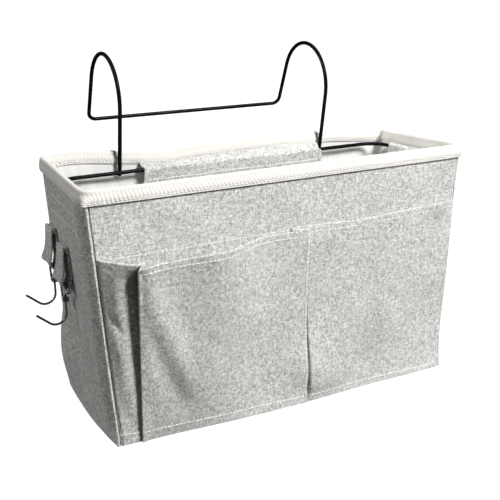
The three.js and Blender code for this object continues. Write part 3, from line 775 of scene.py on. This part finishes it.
def flat_pocket(s, z):
    """The face of the pocket, from the divider seam at s 0 to the front right seam at s 1."""
    s, z = np.broadcast_arrays(s, z)
    t = (z - POCKET_FOOT) / (FLAT_HEM - POCKET_FOOT)
    seam_x = right_end(z) - FRONT_CORNER - SEAM_MARGIN
    x = DIVIDER_SEAM + (seam_x - DIVIDER_SEAM) * s
    gape = FLAT_GAPE * hump(x, 80 * MM, 50 * MM) * smooth(0.1, 1, t)
    pucker = 4.2 * MM * hump(x, 170 * MM, 11 * MM) * smooth(0.88, 1, t)
    full = 1.8 * MM * hump(x, 60 * MM, 55 * MM) * hump(t, 0.42, 0.28)
    tuck = smooth(12.5 * MM, 14.3 * MM, x) * smooth(80 * MM, 18 * MM, x) * smooth(1, 0.9, t)
    tuck = tuck * (1.6 + 5.6 * hump(t, 0.2, 0.2)) * smooth(-0.03, 0.11, t) * MM
    soft = 0.45 * MM * np.sin(x / (21 * MM) - z / (23 * MM)) * smooth(0, 0.2, t) * smooth(1, 0.95, s)
    y = front_face(x, z) - 1.1 * CLOTH - gape - pucker - full - tuck - soft
    sag = -0.8 * MM * hump(x, 80 * MM, 45 * MM) + 1.8 * MM * hump(x, 180 * MM, 16 * MM)
    return np.stack([x, y, z + sag * smooth(0.8, 1, t)], -1)


by_tuck = np.linspace(0.0781, 0.0921, 14)
flat_columns = spaced([edged(RIM_HALF_LENGTH, POCKET_STEP) / RIM_HALF_LENGTH, by_tuck], 1e-4)
plain = pocket_body("flat_pocket_cloth", "right_pocket", flat_pocket, flat_columns, FLAT_HEM)
hem_row = FLAT_HEM - HEM_ROW
flat_rows = [
    surface_row("flat_hem_stitches", flat_pocket, (0.02, 0.985), (hem_row, hem_row), FINE),
    surface_row("flat_foot_stitches", flat_pocket, (0.08, 0.985), (FOOT_ROW_MIDDLE, FOOT_ROW_RIGHT)),
]

# Wire hoop: one round of 4 mm steel wire in gloss black coating, bent square with its ends butted at the
# front. It runs inside the rim through cloth sleeves and holds the mouth open.
WIRE = 4 * MM
HOOP_BEND = 22 * MM
WIRE_SIDES = 20
ARC_STEP = 1.2 * MM
SKEW = (0.3, 0.2, 0.9)
black, across, up = new_finish("black_coating")
peel = noise(across, up, 900.0, 500.0)
dust = noise(across, up, 160.0, 60.0, 4.0)
dress(black, {
    "Base Color": mixed(dust, (0.002, 0.002, 0.0022, 1), (0.009, 0.009, 0.0095, 1)),
    "Roughness": 0.2 + 0.2 * dust,
    "Normal": bumped(peel, 0.05 * MM, 0.2),
    "Specular IOR Level": 0.02,
    "Coat Weight": 0.02 + 0.03 * dust,
    "Coat Roughness": 0.12,
})


def arc(centre, first, second, angle):
    """Points of an arc from one arm of a centre towards the other, without its first point."""
    count = max(4, math.ceil(np.linalg.norm(first) * angle / ARC_STEP))
    turn = (angle * np.arange(1, count + 1) / count)[:, None]
    return centre + first * np.cos(turn) + second * np.sin(turn)


def bend(corner, into, out_of, radius):
    """A square bend round a corner, with the point where it starts."""
    centre = corner - into * radius + out_of * radius
    first = -out_of * radius
    return np.concatenate([[centre + first], arc(centre, first, into * radius, math.pi / 2)])


def round_wire(name, line, diameter, finish, sides=WIRE_SIDES):
    """A round wire along a line of points, with rounded ends. No wire sets out along the skew direction."""
    ahead = unit(np.gradient(line, axis=0))
    aside = np.zeros_like(line)
    aside[0] = unit(np.cross(ahead[0], SKEW))
    for i in range(1, len(line)):
        aside[i] = unit(aside[i - 1] - ahead[i] * (aside[i - 1] @ ahead[i]))
    radius = 0.5 * diameter
    dome = np.radians([80, 55, 25])
    size = radius * np.concatenate([np.cos(dome), np.ones(len(line)), np.cos(dome[::-1])])
    start = line[0] - radius * np.sin(dome)[:, None] * ahead[0]
    end = line[-1] + radius * np.sin(dome[::-1])[:, None] * ahead[-1]
    line = np.concatenate([start, line, end])
    ends = ((len(dome), len(dome)), (0, 0))
    ahead, aside = np.pad(ahead, ends, "edge"), np.pad(aside, ends, "edge")
    over = np.cross(ahead, aside)
    length = run_lengths(line)
    return rods(name, line[None], aside[None], over[None], size, radius, length[None], sides, finish)


LEFT, RIGHT = np.array([-1.0, 0, 0]), np.array([1.0, 0, 0])
FRONT, BACK = np.array([0, -1.0, 0]), np.array([0, 1.0, 0])
hoop_low, hoop_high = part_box("rim_wire")
HOOP_X = hoop_high.x - 0.5 * WIRE
HOOP_Y = hoop_high.y - 0.5 * WIRE
HOOP_Z = 0.5 * (hoop_low.z + hoop_high.z)
BUTT = 0.7 * WIRE
hoop_line = np.concatenate([
    [[BUTT, -HOOP_Y, HOOP_Z]],
    bend((HOOP_X, -HOOP_Y, HOOP_Z), RIGHT, BACK, HOOP_BEND),
    bend((HOOP_X, HOOP_Y, HOOP_Z), BACK, LEFT, HOOP_BEND),
    bend((-HOOP_X, HOOP_Y, HOOP_Z), LEFT, FRONT, HOOP_BEND),
    bend((-HOOP_X, -HOOP_Y, HOOP_Z), FRONT, RIGHT, HOOP_BEND),
    [[-BUTT, -HOOP_Y, HOOP_Z]],
])
hoop = round_wire("hoop_wire", hoop_line, WIRE, black)
settle(hoop, "caddy", "rim_wire")

# Hanger: one length of the same wire. Two uprights are welded to the back of the hoop and lean forward,
# turn over in arches that take the rail, and come down to a cross bar that joins them behind.
hanger_low, hanger_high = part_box("hanger_wire")
LEFT_UPRIGHT = hanger_low.x + 0.5 * WIRE
RIGHT_UPRIGHT = hanger_high.x - 0.5 * WIRE
ARCH = 44 * MM
LEAN = math.radians(10)
SPLAY = math.radians(23)
BAR_BEND = 8 * MM
WELD_GAP = 0.3 * MM
FOOT_Z = HOOP_Z - 0.5 * WIRE - 1 * MM
BAR_Z = HEIGHT + 20 * MM
ARCH_Z = hanger_high.z - 0.5 * WIRE - ARCH
WELD_Y = HOOP_Y + (WIRE + WELD_GAP) / math.cos(LEAN)
FOOT_Y = WELD_Y + (HOOP_Z - FOOT_Z) * math.tan(LEAN)
UPRIGHT = (ARCH_Z - FOOT_Z - ARCH * math.sin(LEAN)) / math.cos(LEAN)
ARCH_Y = FOOT_Y - UPRIGHT * math.sin(LEAN) + ARCH * math.cos(LEAN)
BAR_Y = ARCH_Y + ARCH * math.cos(SPLAY) + (ARCH_Z + ARCH * math.sin(SPLAY) - BAR_Z) * math.tan(SPLAY)
LEG_DOWN = np.array([0, math.sin(SPLAY), -math.cos(SPLAY)])


def arch_arm(turn):
    return ARCH * np.array([0, math.cos(turn), math.sin(turn)])


left_arch = np.array([LEFT_UPRIGHT, ARCH_Y, ARCH_Z])
right_arch = np.array([RIGHT_UPRIGHT, ARCH_Y, ARCH_Z])
sweep = math.pi + LEAN - SPLAY
hanger_line = np.concatenate([
    [[LEFT_UPRIGHT, FOOT_Y, FOOT_Z]],
    [left_arch + arch_arm(math.pi + LEAN)],
    arc(left_arch, arch_arm(math.pi + LEAN), arch_arm(0.5 * math.pi + LEAN), sweep),
    bend((LEFT_UPRIGHT, BAR_Y, BAR_Z), LEG_DOWN, RIGHT, BAR_BEND),
    bend((RIGHT_UPRIGHT, BAR_Y, BAR_Z), RIGHT, -LEG_DOWN, BAR_BEND),
    [right_arch + arch_arm(SPLAY)],
    arc(right_arch, arch_arm(SPLAY), arch_arm(0.5 * math.pi + SPLAY), sweep),
    [[RIGHT_UPRIGHT, FOOT_Y, FOOT_Z]],
])
hanger = round_wire("hanger_bent_wire", hanger_line, WIRE, black)
settle(hanger, "caddy", "hanger_wire")

# Sleeves: strips of the canvas, one on each wall, caught under the binding and passed round the hoop. They
# hang from it, with a row of stitches close under the wire, and are sewn to the wall along their feet.
SLEEVE_TOP = 228.6 * MM
SLEEVE_FOOT = 193 * MM
SLEEVE_INSET = 3.4 * MM
TUCK_Z = 211 * MM
RIGHT_SLEEVE_OVER = 10 * MM
BACK_SLEEVE_LAP = 5 * MM
SLEEVE_SLACK = 0.9 * MM
SLEEVE_STEP = 2.4 * MM
SLEEVE_ROW_POINTS = 200
# Where x or y is 0 on each wall, counted round the box.
SLEEVE_MIDDLE = {"front": 0.5, "right": 2.45, "back": 4.5, "left": 6.55}
WIRE_INSET = half_depth(HOOP_Z) - HOOP_Y


def curve_through(points, step):
    """A smooth line through points, at even steps."""
    points = np.asarray(points, float)
    padded = np.concatenate([[2 * points[0] - points[1]], points, [2 * points[-1] - points[-2]]])
    t = np.linspace(0, 1, 24, endpoint=False)[:, None]
    parts = []
    for a, b, c, d in zip(padded, padded[1:], padded[2:], padded[3:]):
        bow = (2 * b) + (c - a) * t + (2 * a - 5 * b + 4 * c - d) * t**2 + (3 * b - a - 3 * c + d) * t**3
        parts.append(0.5 * bow)
    line = np.concatenate([*parts, points[-1:]])
    length = run_lengths(line)
    even = np.linspace(0, length[-1], max(2, round(length[-1] / step)))
    return read_off(even, length, line)


# The mid-line of a sleeve, as insets from the wall and heights, from its foot up and over the wire.
around = 0.5 * WIRE + SLEEVE_SLACK
turn = np.radians(np.linspace(-8, 80, 8))
sleeve_line = curve_through([
    (SLEEVE_INSET, SLEEVE_FOOT),
    (SLEEVE_INSET + 0.6 * (WIRE_INSET - SLEEVE_INSET), SLEEVE_FOOT + 7 * MM),
    (WIRE_INSET + 0.6 * MM, TUCK_Z - 5 * MM),
    (WIRE_INSET + 1.5 * MM, TUCK_Z + 1 * MM),
    *np.stack([WIRE_INSET + around * np.cos(turn), HOOP_Z + around * np.sin(turn)], -1),
    (SLEEVE_INSET, SLEEVE_TOP),
], 1.1 * MM)


def sleeve_point(along, inset, z):
    """A point inside the box. The sleeve is slack round the wire, and follows it into its bend."""
    points, normals = wall(along, z, inset)
    length = points[..., 0] + points[..., 1]
    loose = smooth(SLEEVE_INSET, WIRE_INSET, inset)
    ripple = 0.5 * MM * np.sin(length / (13 * MM)) * loose
    ripple = ripple + 0.3 * MM * np.sin(length / (5 * MM)) * hump(z, TUCK_Z, 3 * MM) * loose
    past = np.maximum(0, np.abs(points[..., 1]) - HOOP_Y + HOOP_BEND) * np.abs(normals[..., 0])
    ripple = ripple + loose * past**2 / (2 * HOOP_BEND)
    points[..., 2] = z + (points[..., 2] - z) * (1 - loose)
    return points - normals * ripple[..., None], -normals


def sleeve(side, start, end, length, lap):
    """One sleeve between two places on the wall. Its front can lap past its start."""
    inset, z = sleeve_line[:, :1], sleeve_line[:, 1:]
    share = edged(length, SLEEVE_STEP)[::-1] / length
    under = smooth(HOOP_Z + 2.6 * MM, HOOP_Z - 1 * MM, z)
    columns = start + (end - start) * share - lap * under * smooth(0.1, 0, share)
    middle, _ = sleeve_point(columns, inset, z)
    name = f"{side}_hoop_sleeve"
    piece = cloth_body(name, middle, CLOTH, linen)
    settle(piece, "caddy", f"{side}_sleeve")
    rising = sleeve_line[: np.argmax(sleeve_line[:, 1] > HOOP_Z)]
    line = np.linspace(start, end, SLEEVE_ROW_POINTS)
    for number, height in enumerate((TUCK_Z, SLEEVE_FOOT + 3 * MM)):
        face = np.interp(height, rising[:, 1], rising[:, 0]) + 0.5 * CLOTH
        stitch_row(f"{name}_stitches_{number}", *sleeve_point(line, face, height))


front_run = 2 * (RIM_HALF_LENGTH - FRONT_CORNER)
back_run = 2 * (RIM_HALF_LENGTH - BACK_CORNER)
side_run = 2 * RIM_HALF_DEPTH - FRONT_CORNER - BACK_CORNER
for side in ("front", "back", "left", "right"):
    low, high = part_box(f"{side}_sleeve")
    middle = SLEEVE_MIDDLE[side]
    lap = 0.0
    if side == "front":
        start, end = middle + low.x / front_run, middle + high.x / front_run
    elif side == "back":
        start, end = middle - high.x / back_run, middle - low.x / back_run
        lap = BACK_SLEEVE_LAP / back_run
    elif side == "left":
        start, end = middle - high.y / side_run, middle - low.y / side_run
    else:
        start, end = middle + low.y / side_run, middle + (high.y + RIGHT_SLEEVE_OVER) / side_run
    sleeve(side, start, end, max(high.x - low.x, high.y - low.y), lap)

# Binding: cream cotton twill tape, folded over the raw rim all round and sewn through near its lower
# edges. Its ribs slant down to the right on the outside, and so on the inside too. Its outer side flares
# a little to the lower edge.
TAPE = 0.9 * MM
TAPE_WIDTH = 13 * MM
RIB_ALONG = 3.6 * MM
RIB_UP = 2.1 * MM
RIB_HEIGHT = 0.16 * MM
TAPE_OUTER = -0.75 * MM
TAPE_INNER = 3.3 * MM
TAPE_FLARE = 1 * MM
TAPE_ROW = 2.4 * MM
TAPE_START = 4.3
TAPE_STEP = 0.72 * MM
TAPE_PUFF = 0.7 * MM
TAPE_ROW_POINTS = 1600
RIM_POINTS = 16001

# The tape's mid-line, as insets from the wall and heights, from its outer edge over the rim to its inner.
centre = 0.5 * (TAPE_OUTER + TAPE_INNER)
radius = 0.5 * (TAPE_INNER - TAPE_OUTER)
shoulder = HEIGHT - 0.5 * TAPE - radius
foot = HEIGHT - TAPE_WIDTH
rise = foot + edged(shoulder - foot, 0.45 * MM)[: -len(EDGE)]
share = np.clip((rise - foot) / (shoulder - foot), 0, 1)
puff = TAPE_PUFF * np.sin(math.pi * share) ** 2
turn = np.radians(np.linspace(180, 0, 14))
section = np.concatenate([
    np.stack([TAPE_OUTER - puff - TAPE_FLARE * (1 - share), rise], -1),
    np.stack([centre + radius * np.cos(turn), shoulder + radius * np.sin(turn)], -1),
    np.stack([TAPE_INNER + puff, rise], -1)[::-1],
])

# Places round the rim are at even steps of length from the back, and a whole number of ribs goes round.
fine = np.linspace(TAPE_START, TAPE_START + 8, RIM_POINTS)
length = run_lengths(wall(fine, HEIGHT, TAPE_OUTER)[0])
perimeter = length[-1]
even = np.arange(0, perimeter - 0.5 * TAPE_STEP, TAPE_STEP)
columns = np.interp(even, length, fine)
rib_along = perimeter / round(perimeter / RIB_ALONG)
twill, across, up = new_finish("twill_tape")
rib = (across * (2 * math.pi / rib_along) + up * (2 * math.pi / RIB_UP)).maths("SINE")
yarn = noise(across, up, 800.0, 800.0)
cloud = noise(across, up, 30.0, 60.0, 3.0)
# The 0.17 * rib term makes each rib's crest lighter and its groove darker: painted shade along the ribs, on
# top of the real bump.
tone = 0.34 + 0.17 * rib + 0.4 * yarn + 0.3 * cloud
dress(twill, {
    "Base Color": mixed(tone, (0.42, 0.405, 0.37, 1), (0.8, 0.78, 0.735, 1)),
    "Roughness": 0.8 + 0.12 * yarn,
    "Normal": bumped(yarn + 0.5 * rib, 0.15 * MM, 0.5),
    "Sheen Weight": 0.15,
})
middle, _ = wall(columns, section[:, 1:], section[:, :1])
tape_up = run_lengths(section)[:, None]
slant = np.sin(2 * math.pi * (even / rib_along + tape_up / RIB_UP))
at_edge = np.minimum(tape_up, tape_up[-1] - tape_up)
swell = RIB_HEIGHT * slant * smooth(0.3 * MM, 1.2 * MM, at_edge)
sunk = -0.35 * MM * hump(at_edge, TAPE_ROW, 0.9 * MM)
middle = middle + cloth_normals(middle, True) * (swell + sunk)[..., None]
binding = cloth_body("rim_binding_tape", middle, TAPE, twill, True, np.broadcast_arrays(even, tape_up))
settle(binding, "caddy", "rim_binding")
ring = np.linspace(0, 8, TAPE_ROW_POINTS)
flared = TAPE_OUTER - TAPE_FLARE * (1 - TAPE_ROW / TAPE_WIDTH)
for name, inset, way in (("outer", flared - 0.7 * MM, 1), ("inner", TAPE_INNER + 0.75 * MM, -1)):
    points, normals = wall(ring, HEIGHT - TAPE_WIDTH + TAPE_ROW, inset)
    stitch_row(f"binding_{name}_stitches", points, normals * way)

# Straps: two lengths of doubled canvas sewn to the left end at the top, where the raw end is turned under.
# Each is folded round the top bar of a hook's ring, and its outer layer stands off the wall in a loop.
STRAP_CLOTH = 1.6 * MM
STRAP_WIDTH = 22 * MM
STRAP_SEAM = 6 * MM
STRAP_ROW = 4.2 * MM
STRAP_BELLY = 33 * MM
STRAP_STANDOFF = 9.4 * MM
STRAP_BUNCH = 0.16
HOOK_WIRE = 2.2 * MM
GAP = 0.3 * MM
STRAP_ROW_POINTS = 30
STRAP_STEP = 1.5 * MM
LINE_STEP = 0.7 * MM
joints = {joint["child"]: Vector(joint["pos_m"]) for joint in frame["joints"]}


def left_face(y, z):
    """X of the left wall's outer face at some depths and heights."""
    along = np.linspace(6, 7, WALL_ROW_POINTS)
    rows = [wall(along, height)[0][::-1] for height in z]
    return np.stack([np.interp(y, row[:, 1], row[:, 0]) for row in rows])


def strap(name):
    """A strap in the plane of its hook's pivot. Its line is given as distance off the wall and height."""
    hook = f"{name}_hook"
    pivot = joints[hook]
    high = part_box(f"{name}_strap")[1]
    wall_x = high.x + GAP
    top, ring = high.z, pivot.z
    ring_out = wall_x - pivot.x
    flat = GAP + 0.5 * STRAP_CLOTH
    fold = 0.5 * HOOK_WIRE + GAP + 0.5 * STRAP_CLOTH
    turn = np.linspace(math.pi, 2 * math.pi, 12)
    under = np.stack([ring_out + fold * np.cos(turn), ring + fold * np.sin(turn)], -1)
    cap = flat + 2 * STRAP_CLOTH + GAP
    tucked = flat + STRAP_CLOTH + 0.5 * GAP
    bow = 0.5 * (cap - tucked)
    turn = np.linspace(0, math.pi, 9)
    over_z = top - 0.5 * STRAP_CLOTH - bow + bow * np.sin(turn)
    over = np.stack([tucked + bow + bow * np.cos(turn), over_z], -1)
    outer = curve_through([
        (ring_out + fold, ring),
        (STRAP_STANDOFF - 1.4 * MM, ring + 4 * MM),
        (STRAP_STANDOFF, top - STRAP_BELLY),
        (STRAP_STANDOFF - 2.4 * MM, top - STRAP_BELLY + 8 * MM),
        (cap + 1.1 * MM, top - STRAP_SEAM - 10 * MM),
        (cap + 0.6 * MM, top - STRAP_SEAM - 3 * MM),
        *over,
        (tucked, top - STRAP_SEAM),
    ], LINE_STEP)
    down = np.linspace(top, ring, 34)
    inner = np.stack([np.full_like(down, flat), down], -1)
    line = np.concatenate([inner[:-1], under[:-1], outer])
    side = 0.5 * STRAP_WIDTH - edged(STRAP_WIDTH, STRAP_STEP)
    off, z = line[:, :1], line[:, 1:]
    twist = 0.15 * side * smooth(5 * MM, STRAP_STANDOFF, off) * smooth(ring, ring + 7 * MM, z)
    gap = np.maximum(left_face(pivot.y + side, line[:, 1]) - wall_x, 0) * smooth(5 * MM, 3 * MM, off)
    x = wall_x - off - twist + gap * smooth(ring, ring + 9 * MM, z)
    y = pivot.y + side * (1 - STRAP_BUNCH * hump(z, ring, 6 * MM))
    x, y, z = np.broadcast_arrays(x, y, z)
    piece = cloth_body(f"{name}_hook_strap", np.stack([x, y, z], -1)[:, ::-1], STRAP_CLOTH, linen)
    settle(piece, "caddy", f"{name}_strap")
    row_y = pivot.y - np.linspace(-0.42, 0.42, STRAP_ROW_POINTS) * STRAP_WIDTH
    face = wall_x - cap - 0.5 * STRAP_CLOTH - 0.5 * GAP
    points = np.stack(np.broadcast_arrays(face, row_y, top - STRAP_ROW), -1)
    sewn = [stitch_row(f"{name}_strap_stitches", points, np.broadcast_to(LEFT, points.shape))]


for name in ("front", "rear"):
    strap(name)

# Hooks: bright plated steel wire. One end is bent up into an open hook. The other makes a flat ring for
# the strap and is wrapped nearly twice round the shank, and the ring turns freely in the strap's fold.
RING_WIDTH = 28 * MM
RING_CORNER = 3 * MM
RING_HEIGHT = 11 * MM
SHANK = 17 * MM
HOOK_BEND = 10 * MM
HOOK_LIFT = math.radians(40)
HOOK_REACH = 15 * MM
WRAP_TURNS = 1.75
WRAP = HOOK_WIRE + 0.5 * MM
HOOK_SIDES = 14
steel, across, up = new_finish("plated_steel")
drawn = noise(across, up, 3500.0, 120.0)
dull = noise(across, up, 300.0, 200.0, 3.0)
dress(steel, {
    "Base Color": mixed(dull, (0.12, 0.118, 0.115, 1), (0.42, 0.412, 0.4, 1)),
    "Metallic": 1.0,
    "Roughness": 0.08 + 0.12 * dull,
    "Normal": bumped(drawn, 0.03 * MM, 0.3),
})

# The hook's centre line about its ring's top bar goes through tip, bend, shank, ring and wrapped end.
shank_end = -RING_HEIGHT - SHANK
tip_turn = 0.5 * math.pi + HOOK_LIFT
turn = np.linspace(tip_turn, 0, 10)
curl = np.stack([HOOK_BEND * (np.cos(turn) - 1), 0 * turn, shank_end - HOOK_BEND * np.sin(turn)], -1)
way = np.array([-math.sin(tip_turn), 0, -math.cos(tip_turn)])
tip = [curl[0] + way * HOOK_REACH, curl[0] + way * 0.5 * HOOK_REACH]
shank = [[0, 0, -RING_HEIGHT - 0.5 * SHANK], [0, 0, -RING_HEIGHT]]
end = 0.5 * RING_WIDTH - RING_CORNER
turn = np.linspace(0, 0.5 * math.pi, 7)
ring_side = np.stack([0 * turn, end + RING_CORNER * np.sin(turn), RING_CORNER * (np.cos(turn) - 1)], -1)
mirrored = ring_side[::-1] * [1, -1, 1]
turn = np.arange(0, WRAP_TURNS * 2 * math.pi + 0.01, math.pi / 6)
drop = -RING_HEIGHT - 0.5 * HOOK_WIRE - WRAP * turn / (2 * math.pi)
wrap = np.stack([-WRAP * np.cos(turn), -WRAP * np.sin(turn), drop], -1)
hook_line = curve_through(np.concatenate([tip, curl, shank, mirrored, ring_side, wrap]), LINE_STEP)
for side in ("front", "rear"):
    body = f"{side}_hook"
    line = hook_line + np.array(joints[body])
    hook = round_wire(f"{side}_wire_hook", line, HOOK_WIRE, steel, HOOK_SIDES)
    settle(hook, body, body)

# Studio: a plain pale floor in front of a pale round backdrop, one soft key light high at the front right,
# weaker ones at the left and behind, a narrow one on the inside of the right end, and a faint fill from
# the left, as from a white screen.
FLOOR = 8.0
FLOOR_Z = -0.2 * MM
STAGE_SIDES = 64
CADDY_MIDDLE = (0, 0, 0.12)
CAMERA_PLACE = Vector((-389.7, -731.0, 410.8)) * MM
CAMERA_RIGHT = Vector((0.8857, -0.4643, -0.0088))
CAMERA_BACK = Vector((-0.4386, -0.8427, 0.3122))
FOCAL_PIXELS = 853.6
FRAME_PIXELS = 500
SENSOR = 36.0


def pale_finish(name, paint, glow):
    material = bpy.data.materials.new(name)
    material.use_nodes = True
    dress(material, {
        "Base Color": (paint, paint, paint, 1),
        "Roughness": 0.9,
        "Specular IOR Level": 0.0,
        "Emission Color": (1, 1, 1, 1),
        "Emission Strength": glow,
    })
    return material


def pale_stage(name, profile, finish):
    """A round of revolution about the upright axis, from a profile of radii and heights."""
    profile = np.asarray(profile)
    around = 2 * math.pi * np.arange(STAGE_SIDES) / STAGE_SIDES
    round_x, round_y = np.outer(profile[:, 0], np.cos(around)), np.outer(profile[:, 0], np.sin(around))
    height = np.repeat(profile[:, 1:], STAGE_SIDES, axis=1)
    points = np.stack([round_x, round_y, height], -1)
    index = np.arange(points[..., 0].size).reshape(height.shape)
    beside = np.roll(index, -1, axis=1)
    quads = np.stack([index[:-1], index[1:], beside[1:], beside[:-1]], -1).reshape(-1, 4)
    places = points[..., :2].reshape(-1, 2)
    piece = solid_mesh(name, points.reshape(-1, 3), quads, [], places, finish)
    piece.visible_diffuse = False
    piece.visible_glossy = False
    return piece


rise = np.radians(np.linspace(0, 88, 24))
pale_stage("floor", [(MM, FLOOR_Z), (FLOOR, FLOOR_Z)], pale_finish("pale_floor", 0.3, 0.98))
dome = np.stack([FLOOR * np.cos(rise), FLOOR * np.sin(rise)], -1)
backdrop = pale_stage("backdrop", dome, pale_finish("pale_backdrop", 0.0, 1.0))
backdrop.visible_shadow = False


def aim(light, place, target):
    lamp = bpy.data.objects.new(light.name, light)
    lamp.location = place
    lamp.rotation_euler = (Vector(target) - Vector(place)).to_track_quat("-Z", "Y").to_euler()
    bpy.context.scene.collection.objects.link(lamp)


def soft_light(name, place, size, watts):
    light = bpy.data.lights.new(name, "AREA")
    light.shape = "DISK"
    light.size = size
    light.energy = watts
    aim(light, place, CADDY_MIDDLE)


soft_light("key_light", (0.877, -1.721, 1.86), 0.8, 111)
soft_light("left_light", (-1.92, 0.72, 1.37), 1.0, 17)
soft_light("back_light", (1.3, 2.2, 1.7), 1.4, 7)
inner_light = bpy.data.lights.new("inner_light", "SPOT")
inner_light.energy = 58
inner_light.spot_size = math.radians(11)
inner_light.spot_blend = 1.0
inner_light.shadow_soft_size = 0.05
aim(inner_light, (-1.2, -0.1, 1.2), (0.2, 0.0, 0.225))
studio = bpy.data.worlds.new("studio")
studio.use_nodes = True
toward = Shade(studio.node_tree).node("ShaderNodeTexCoord")
rightward = toward.node("ShaderNodeSeparateXYZ", None, {"Vector": toward})
backward, upward = rightward.other(1), rightward.other(2)
screen = (0.25 * upward - 0.95 * rightward - 0.05 * backward).maths("MAXIMUM", 0.0)
tint = mixed(screen, (0.03, 0.03, 0.031, 1), (0.22, 0.22, 0.216, 1))
feed(studio.node_tree.nodes["Background"], {"Color": tint})
bpy.context.scene.world = studio
bpy.context.scene.view_settings.view_transform = "Standard"

camera = bpy.data.objects.new("camera", bpy.data.cameras.new("camera"))
camera.data.sensor_width = SENSOR
camera.data.lens = FOCAL_PIXELS * SENSOR / FRAME_PIXELS
camera_up = CAMERA_BACK.cross(CAMERA_RIGHT)
axes = Matrix((CAMERA_RIGHT, camera_up, CAMERA_BACK)).transposed().to_4x4()
camera.matrix_world = Matrix.Translation(CAMERA_PLACE) @ axes
bpy.context.scene.collection.objects.link(camera)
bpy.context.scene.camera = camera

bpy.context.view_layer.update()
